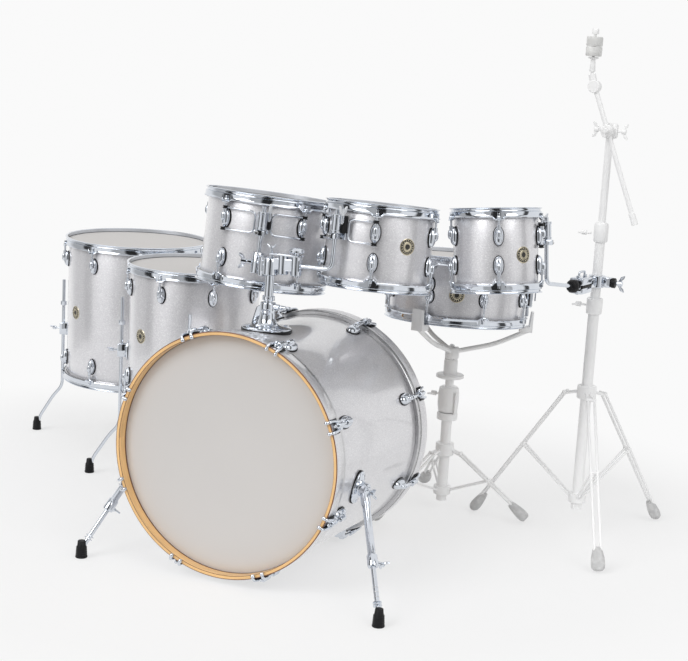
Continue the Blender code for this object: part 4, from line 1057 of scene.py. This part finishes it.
def dress_holder():
    """Base on the bass drum, post with two clamps, and the two bent rods."""
    base = Solid(HOLDER)
    base.lathe([(0, -3), (60, -10), (60, 0.6), (59, 1.6), (0, 6)], steps=64, finish="rubber")
    base.lathe([(0, 0), (58, -3), (58, 3), (56, 4.6), (42, 7), (29, 10.5), (22.5, 16.5), (19.2, 26),
                (17.6, 40), (18.8, 42.5), (18.8, 60), (17.8, 62.6), (11.8, 63.2), (0, 63.2)], steps=64)
    for azimuth in evenly(4, 45.0):
        bolt = turn(math.radians(azimuth)) @ shift(47, 0, 6)
        base.lathe([(0, 0), (5.2, 0), (5.2, 2.2), (3.8, 3.6), (0, 4)], bolt, 20)
    base.bar([(12, 0, 54), (30, 0, 54)], 7, 16)
    base.wing(shift(37, 0, 54) @ BACK_Z, 34, 14)
    base.slab([(-14, 60), (-30, 48), (-40, 12), (-40, 6), (-14, 6)], 6, QUARTER_X, 1.4)
    settle("tom_holder_foot", base, "kit_base", "chrome", "tom_holder_base")

    post = Solid(HOLDER)
    post.rod(-90, HEAD_HEIGHT + 10, POST_RADIUS, 32)
    post.turned([(16.5, -24), (17.8, -22.5), (17.8, 13), (16.5, 15)], up(HEAD_HEIGHT), 40)
    post.turned([(14.5, 0), (15, 1), (15, 9), (14, 10)], up(68), 32)
    post.rod(HEAD_HEIGHT + 12, HEAD_HEIGHT + 36, 4, 14)
    post.wing(up(HEAD_HEIGHT + 40) @ QUARTER_X, 24, 8)
    clamps = Solid()
    top = HOLDER @ Vector((0, 0, HEAD_HEIGHT))
    for tag, reach in SOCKET_REACH.items():
        _, _, low, high = HANGERS[tag]
        bend = rod_point(tag, low)
        outward = Vector((bend.x - top.x, bend.y - top.y, 0)).normalized()
        centre = Vector((top.x, top.y, bend.z))
        socket = shift(centre) @ Matrix((outward, UP.cross(outward), UP)).transposed().to_4x4()
        pins = (32,) if tag == "tom12" else (32, reach - 13)
        arm = Solid()
        clamps.block((reach - 6, 22, 30), socket @ shift(0.5 * reach + 3, 0, 0), 4)
        for out in pins:
            clamps.turned([(12, -23.5), (13.2, -22), (13.2, 22), (12, 23.5)], socket @ shift(out, 0, 0), 32)
        clamps.block((reach, 26, 4), socket @ shift(0.5 * reach, 0, 22.5), 1.4)
        if tag == "tom10":
            clamps.lathe([(0, 0), (6, 0), (6, 6), (16.5, 7), (19, 10), (18, 14), (12, 18), (0, 19.5)],
                         socket @ shift(reach - 13, 0, 22.5), 32)
        else:
            dress_sleeve(arm)
        arm.bar(rounded([centre + 30 * outward, bend, rod_point(tag, high)], 22, 8), ARM_RADIUS, 16)
        memory_lock(arm, tag)
        settle(f"{tag}_bent_rod", arm, f"{tag}_arm", "chrome", f"{tag}_arm")
    settle("tom_holder_column", [post, clamps], "holder_post", "chrome", "tom_holder_post")


def dress_tom8_arm():
    """Rod of the smallest tom, its ball and the clamp on the stand."""
    _, _, low, high = HANGERS["tom8"]
    ball = spot(*TOM8_BALL)
    axis = CYMBAL_AXIS @ up(CLAMP_HEIGHT)
    towards = axis.translation - ball
    towards.z = 0
    towards.normalize()
    solid = Solid()
    solid.bar(rounded([rod_point("tom8", high), rod_point("tom8", low), ball], 20, 8), ARM_RADIUS, 16)
    memory_lock(solid, "tom8")
    solid.lathe([(0, -16.5), (9, -15), (15, -9), (16.5, 0), (15, 9), (9, 15), (0, 16.5)], shift(ball), 32,
                "rubber")
    middle = shift(axis.translation - 80 * towards) @ towards.to_track_quat("Y", "Z").to_matrix().to_4x4()
    solid.block((30, 100, 22), middle, 5)
    solid.block((38, 60, 18), middle @ shift(0, -20, 11), 4)
    solid.block((38, 60, 16), middle @ shift(0, -20, -12), 4)
    solid.block((36, 58, 8), middle @ shift(0, -20, -1), 1, "rubber")
    for y in (-40, 2):
        solid.rod(-22, 26, 5, 16, middle @ shift(0, y, 0))
    solid.bar(rounded([(0, -36, 20), (0, -36, 34), (0, -2, 34), (0, -2, 20)], 10, 5), 2.8, 12, middle)
    inner = CYMBAL_MIDDLE + 0.6
    solid.lathe([(inner, -15), (20.5, -15), (21.8, -13.5), (21.8, 13.5), (20.5, 15), (inner, 15)], axis, 40)
    solid.block((26, 24, 26), axis @ shift(28, -2, 0), 3.5)
    solid.turned([(12, 0), (13, 1), (13, 9), (12, 10)], axis @ shift(41, -2, 0) @ QUARTER_Y, 24, "rubber")
    solid.wing(axis @ shift(60, -2, 0) @ BACK_Z @ QUARTER_Y, 44, 15)
    settle("tom8_bent_rod", solid, "tom8_arm", "chrome", "tom8_arm")


# Snare drum's own fittings

def dress_snare():
    """Throw-off with its lever, butt plate and snare wires."""
    drum = DRUMS["snare"]
    radius = drum.radius
    strainer = at_azimuth(STRAINER_AZIMUTH)
    plates = Solid(SNARE)
    for seat, deep in ((strainer, 20), (strainer @ turn(math.pi), 14)):
        plates.block((3, 32, 60), seat @ shift(radius + 1.5, 0, -12), 1, "rubber")
        plates.block((deep, 26, 52), seat @ shift(radius + 0.5 * deep, 0, -12), 4)
        plates.rod(-62, -30, 4.4, 16, seat @ shift(radius + 0.4 * deep, 0, 0))
    settle("snare_throw_off", plates, "snare_and_basket", "chrome", "snare_shell")
    lever = Solid(SNARE @ strainer @ shift(radius + 26, 0, -18))
    lever.slab([(-6, -2), (6, -2), (7, 20), (8.5, 44), (6, 48), (-6, 48), (-8.5, 44), (-7, 20)], 3.8,
               QUARTER_X @ QUARTER_Y)
    settle("snare_lever", lever, "strainer_lever", "chrome", "snare_strainer_lever")
    wires = Solid(SNARE @ strainer @ up(-drum.half - 3.8))
    for x in (-152, 152):
        wires.block((10, 48, 2.6), shift(x, 0, 0), 1)
    for k in range(WIRES):
        y = -21 + 42 * k / (WIRES - 1)
        path = []
        for n in range(WIRE_POINTS + 1):
            angle = TAU * n / WIRE_PITCH
            path.append((-148 + 296 * n / WIRE_POINTS, y + 0.7 * math.cos(angle), 0.7 * math.sin(angle)))
        wires.bar(path, 0.45, 5, soft=0, finish="wire")
    settle("snare_wire_set", wires, "snare_and_basket", "steel_wire", "snare_wires")


# Stands

def dress_tripod(place, azimuths, reach, hub, base, radius, top, leg_width, out):
    """Lower tube, its collars, and three legs of paired strips with braces."""
    solid = Solid(place, "stand")
    solid.rod(base - 30, top, radius, 32)
    for z, h, r in ((base, 12, radius + 9), (hub, 17, radius + 11), (top - 20, 20.5, radius + 6.5)):
        solid.turned([(r - 2, -h), (r, 2 - h), (r, h - 2), (r - 2, h)], up(z), 32)
    solid.wing(shift(-radius - 26, 0, top - 20) @ QUARTER_Z, 40, 15)
    shoulder = Vector((out, 0, hub - 8))
    ankle = Vector((reach - 6, 0, 30))
    fall = (ankle - shoulder).normalized()
    knee = shoulder.lerp(ankle, 0.46)
    pin = Vector((0, 0.5 * leg_width + 4, 0))
    for azimuth in azimuths:
        spoke = turn(math.radians(azimuth))
        for y in (-0.5 * leg_width, 0.5 * leg_width):
            aside = Vector((0, y, 0))
            solid.bar([(radius + 2, 0.6 * y, hub), shoulder + aside + 6 * fall, ankle + aside * 0.9], 3.8, 10,
                      spoke)
            solid.bar([(radius + 3, 0.5 * y, base), knee + 0.8 * aside], 3, 10, spoke)
        for point in (shoulder, knee):
            solid.bar([point - pin, point + pin], 4.2, 12, spoke)
        foot = spoke @ shift(-4.5, 0, 0) @ facing(-fall, ankle) @ oval(0.78, 1.0)
        solid.lathe([(0, -25.5), (12, -25), (17.2, -19), (18.4, -9), (17, 8), (13, 26), (10.5, 34),
                     (0, 34.5)], foot, 28, "stand_rubber")
    return solid


def dress_cymbal_stand():
    """Tripod, two rising tubes, and the boom with its tilter, felts and nut."""
    place = CYMBAL_AXIS
    legs = dress_tripod(place, (172.0, 60.0, -61.0), reach=305, hub=392, base=105, radius=CYMBAL_LOW, top=640,
                        leg_width=18, out=60)
    settle("cymbal_stand_legs", legs, "kit_base", "pale_stand", "cymbal_stand_tripod")
    middle = Solid(place, "stand")
    middle.rod(400, 830, CYMBAL_MIDDLE, 32)
    middle.lathe([(0, 786), (16.5, 786), (18.5, 789), (18.5, 828), (16, 834.5), (0, 835.5)], steps=32)
    middle.wing(shift(-42, 0, 806) @ QUARTER_Z, 38, 14)
    settle("cymbal_stand_sleeve", middle, "cymbal_middle", "pale_stand", "cymbal_stand_middle_tube")
    upper = Solid(place, "stand")
    upper.rod(560, 1060, CYMBAL_TOP, 28)
    upper.block((40, 18, 38), up(TILTER_HEIGHT), 6)
    upper.turned([(18, -8.5), (19.5, -7), (19.5, 7), (18, 8.5)], up(TILTER_HEIGHT) @ QUARTER_X, 32)
    for side, back in ((-1, QUARTER_Z), (1, BACK_Z)):
        upper.wing(shift(side * 34, 0, TILTER_HEIGHT) @ back @ QUARTER_Y, 40, 12, 6)
    settle("cymbal_stand_rise", upper, "cymbal_upper", "pale_stand", "cymbal_stand_upper_tube")
    centre = place @ Vector((0, -23.5, TILTER_HEIGHT))
    tail = centre + Vector(BOOM_TAIL)
    along = (centre - tail).normalized()
    knee = centre + BOOM_AHEAD * along
    seat = knee + Vector((-10, 0, 30))
    boom = Solid(finish="stand")
    boom.bar([tail, knee], 6.2, 20)
    boom.bar([tail, tail + 30 * along], 8.5, 20)
    boom.turned([(14, -13), (15.5, -11.5), (15.5, 10), (13.5, 13)], facing((0, 1, 0), centre), 32)
    boom.wing(shift(centre + Vector((0, -24, 0))) @ BACK_X @ turn(math.pi, "Z"), 36, 13)
    boom.turned([(14, -11), (15.5, -9.5), (15.5, 9.5), (14, 11)], facing((0, 1, 0), knee), 32)
    boom.bar([knee, seat], 9.5, 20)
    boom.bar([seat - 12 * UP, seat + 108 * UP], 3.6, 14)
    boom.lathe([(0, 0), (7, 0), (8, 2), (5.6, 30), (13, 33), (13, 36), (0, 36.2)], shift(seat + 6 * UP), 28)
    for z in (44, 68.4):
        boom.lathe([(0, 0), (19, 0), (20.5, 2), (20.5, 21), (19, 23.5), (0, 24)], shift(seat + z * UP), 32,
                   "felt")
    boom.turned([(8.5, 0), (8.8, 1), (8.8, 11), (7, 14)], shift(seat + 98 * UP), 20)
    settle("cymbal_stand_tilter", boom, "cymbal_boom", "pale_stand", "cymbal_stand_boom")


def dress_snare_stand():
    """Tripod with its round housing and lever, rising tube, and the basket's three arms."""
    place = SNARE_AXIS
    legs = dress_tripod(place, (3.0, 124.0, 245.0), reach=235, hub=175, base=60, radius=SNARE_LOW, top=345,
                        leg_width=16, out=45)
    legs.turned([(23, 280), (26.2, 284), (28.5, 300), (28.5, 330), (26.2, 346), (20, 350)], steps=40)
    legs.turned([(26.2, 258), (28, 260), (28, 276), (26.2, 278)], steps=40)
    lever = at_azimuth(60.0) @ shift(33, 0, 338) @ QUARTER_X @ QUARTER_Y
    legs.slab([(-5, 0), (5, 0), (6, -60), (-6, -60)], 6, lever)
    settle("snare_stand_legs", legs, "kit_base", "pale_stand", "snare_stand_tripod")
    upper = Solid(place, "stand")
    upper.rod(160, 400, SNARE_TOP, 28)
    upper.turned([(17, 375), (18.5, 378), (18.5, 420), (16.5, 425)], steps=32)
    upper.turned([(35, 374), (37.5, 375.5), (37.5, 382), (35, 383.5)], steps=32)
    for x in (-12.5, 12.5):
        upper.block((5, 22, 44), shift(x, 0, SNARE_HUB - 8), 1.5)
    settle("snare_stand_rise", upper, "snare_stand_upper", "pale_stand", "snare_stand_upper_tube")
    low = -DRUMS["snare"].half - DRUM_EDGE
    ring = DRUMS["snare"].radius + 16.5
    hub = place @ Vector((0, 0, SNARE_HUB))
    centre = SNARE @ Vector((0, 0, low - 85))
    basket = Solid(finish="stand")
    basket.bar([hub, hub + 16 * UP, centre + 10 * UP], 6.8, 20)
    basket.bar([hub - Vector((9, 0, 0)), hub + Vector((9, 0, 0))], 12, 24)
    basket.turned([(17, -16), (18, -14.5), (18, 10), (16.5, 12)], shift(centre), 32)
    for azimuth in evenly(3, -7.0):
        hook = SNARE @ at_azimuth(azimuth)
        end = hook @ Vector((ring + 4, 0, low - 10))
        middle = centre.lerp(end, 0.55) - 12 * UP
        basket.bar(rounded([centre, middle, end], 30, 6), 6.2, 16)
        basket.slab([(-24, -16.5), (10, -16.5), (10, 38), (4, 38), (0.5, -0.5), (-24, -0.5)], 33,
                    hook @ shift(ring, 0, low) @ QUARTER_X, 2)
    settle("snare_stand_cradle", basket, "snare_and_basket", "pale_stand", "snare_stand_basket")


# Setting

BACKDROP = 0.955                # 1 is white
FLOOR_GLOW = 0.60               # how far the seen floor is evened out towards the backdrop
FLOOR_RADIUS = 1600
FLOOR_FADE = (1.10, 1.55)       # metres from the middle between which it becomes the backdrop
ROOM_LIGHT = 0.56
ROOM_SHADE = 0.52               # front half of the room, as metal sees it
# (azimuth and half width in degrees, brightness): soft boxes at the sides, dark cards between
ROOM_WALLS = ((-118.0, 16.0, 1.0), (-12.0, 14.0, 1.0), (-68.0, 8.0, 0.03), (-145.0, 6.0, 0.05),
              (14.0, 5.0, 0.08), (-40.0, 3.0, 0.60))
# name: (direction it comes from, angle it fills in degrees, strength)
SUNS = {"key_light": ((-0.45, -1.0, 0.85), 34.0, 1.15), "fill_light": ((0.9, -0.5, 0.9), 40.0, 0.62)}


def floor_finish(colour):
    made = Finish("pale_floor", roughness=0.9, specular_level=0.0)
    grain = made.noise(3.0, 2.0)
    made.feed("Base Color", made.mix(grain, rgba(colour), rgba(colour, 0.995)))
    glow = made.node("ShaderNodeEmission", {}, {"Color": rgba([BACKDROP] * 3), "Strength": 1.0})
    across = made.node("ShaderNodeVectorMath", {"operation": "LENGTH"}, {0: made.place}, "Value")
    share = made.rays()[1] * (FLOOR_GLOW + (1.0 - FLOOR_GLOW) * made.ramp(across, *FLOOR_FADE))
    made.mixed(share, made.shader.outputs[0], glow, "Material Output")
    return made.material


def set_camera():
    """Camera where the photograph was taken from, as fitted to the drums' heads."""
    data = bpy.data.cameras.new("photo_view")
    data.lens = 84.959
    data.sensor_width = 36.0
    data.shift_x = -0.1062
    data.shift_y = 0.0801
    camera = add_object("photo_view", data)
    right = Vector((0.91787, 0.39141, 0.06570))
    down = Vector((0.14449, -0.17537, -0.97384))
    ahead = Vector((-0.36965, 0.90335, -0.21752))
    axes = Matrix((right, -down, -ahead)).transposed().to_4x4()
    camera.matrix_world = shift(1.9600, -3.7679, 1.3003) @ axes
    bpy.context.scene.camera = camera


def set_world():
    """White room that lights evenly, and that metal sees with soft boxes in a dimmer front half."""
    world = bpy.data.worlds.new("white_room")
    world.use_nodes = True
    room = Nodes(world.node_tree)
    light = room.tree.nodes["Background"]
    light.inputs["Color"].default_value = (1.0, 1.0, 1.0, 1.0)
    light.inputs["Strength"].default_value = ROOM_LIGHT
    heading = room.node("ShaderNodeTexCoord", output="Generated")
    x, y, z = room.split(heading)
    azimuth = y.math("ARCTAN2", x)
    glow = ROOM_SHADE + (1.0 - ROOM_SHADE) * room.ramp(y, 0.0, 0.25)
    for centre, width, strength in ROOM_WALLS:
        away = (azimuth - math.radians(centre)).math("ABSOLUTE")
        share = room.ramp(away, math.radians(width + 4.0), math.radians(width))
        glow = glow + share * (strength - glow)
    glow = glow.math("MAXIMUM", room.ramp(z, 0.80, 0.88))
    camera, share = room.rays()
    shown = (glow * BACKDROP).math("MAXIMUM", camera * BACKDROP)
    seen = room.node("ShaderNodeBackground", {}, {"Color": (1.0, 1.0, 1.0, 1.0), "Strength": shown})
    room.mixed(share, light.outputs[0], seen, "World Output")
    bpy.context.scene.world = world


def soft_sun(name, away, angle, power):
    """Broad even light from a direction."""
    data = bpy.data.lights.new(name, "SUN")
    data.energy = power
    data.angle = math.radians(angle)
    add_object(name, data).matrix_world = facing(away, Vector(away) * 3.0)


# Operators

class DRUMKIT_OT_shells(bpy.types.Operator):
    """Dress the six drums that stand upright"""
    bl_idname = "drumkit.drums"
    bl_label = "Drums"

    def execute(self, context):
        for tag in DRUMS:
            dress_drum(tag)
        return {"FINISHED"}


class DRUMKIT_OT_bass(bpy.types.Operator):
    """Dress the bass drum, its claws and its spurs"""
    bl_idname = "drumkit.bass"
    bl_label = "Bass drum"

    def execute(self, context):
        dress_bass()
        dress_spur("right")
        dress_spur("left")
        return {"FINISHED"}


class DRUMKIT_OT_legs(bpy.types.Operator):
    """Dress the floor drums' legs and brackets"""
    bl_idname = "drumkit.legs"
    bl_label = "Floor legs"

    def execute(self, context):
        for tag in FLOOR_LEGS:
            dress_legs(tag)
        return {"FINISHED"}


class DRUMKIT_OT_suspension(bpy.types.Operator):
    """Dress the tom holder, its rods and the hangers"""
    bl_idname = "drumkit.suspension"
    bl_label = "Tom suspension"

    def execute(self, context):
        dress_holder()
        dress_tom8_arm()
        for tag in HANGERS:
            dress_hanger(tag)
        return {"FINISHED"}


class DRUMKIT_OT_snare(bpy.types.Operator):
    """Dress the snare drum's throw-off, lever and wires"""
    bl_idname = "drumkit.snare"
    bl_label = "Snare fittings"

    def execute(self, context):
        dress_snare()
        return {"FINISHED"}


class DRUMKIT_OT_stands(bpy.types.Operator):
    """Dress the two stands"""
    bl_idname = "drumkit.stands"
    bl_label = "Stands"

    def execute(self, context):
        dress_cymbal_stand()
        dress_snare_stand()
        return {"FINISHED"}


class DRUMKIT_OT_stage(bpy.types.Operator):
    """Make the floor, the light and the camera"""
    bl_idname = "drumkit.stage"
    bl_label = "Stage"

    def execute(self, context):
        floor = Solid(finish="floor")
        floor.turned([(FLOOR_RADIUS, -20.5), (FLOOR_RADIUS, -0.5)], steps=96)
        stage = add_object("floor", in_metres(floor, "floor"))
        set_world()
        for name, (away, angle, power) in SUNS.items():
            soft_sun(name, away, angle, power)
        set_camera()
        context.scene.view_settings.view_transform = "Standard"
        return {"FINISHED"}


class DRUMKIT_PT_panel(bpy.types.Panel):
    bl_label = "Drum kit"
    bl_idname = "DRUMKIT_PT_panel"
    bl_space_type = "VIEW_3D"
    bl_region_type = "UI"
    bl_category = "Drum kit"

    def draw(self, context):
        for step in STEPS:
            self.layout.operator(step.bl_idname)
        for group in (context.scene.kit_sizes, context.scene.kit_colours):
            for name in group.__annotations__:
                self.layout.prop(group, name)


STEPS = (DRUMKIT_OT_shells, DRUMKIT_OT_bass, DRUMKIT_OT_legs, DRUMKIT_OT_suspension, DRUMKIT_OT_snare,
         DRUMKIT_OT_stands, DRUMKIT_OT_stage)
CLASSES = (KitSizes, KitColours, *STEPS, DRUMKIT_PT_panel)


def register():
    for kind in CLASSES:
        bpy.utils.register_class(kind)
    bpy.types.Scene.kit_sizes = PointerProperty(type=KitSizes)
    bpy.types.Scene.kit_colours = PointerProperty(type=KitColours)


def unregister():
    del bpy.types.Scene.kit_sizes
    del bpy.types.Scene.kit_colours
    for kind in reversed(CLASSES):
        bpy.utils.unregister_class(kind)


def main():
    register()
    make_finishes(bpy.context.scene.kit_colours)
    for step in STEPS:
        group, name = step.bl_idname.split(".")
        getattr(getattr(bpy.ops, group), name)()


if __name__ == "__main__":
    main()
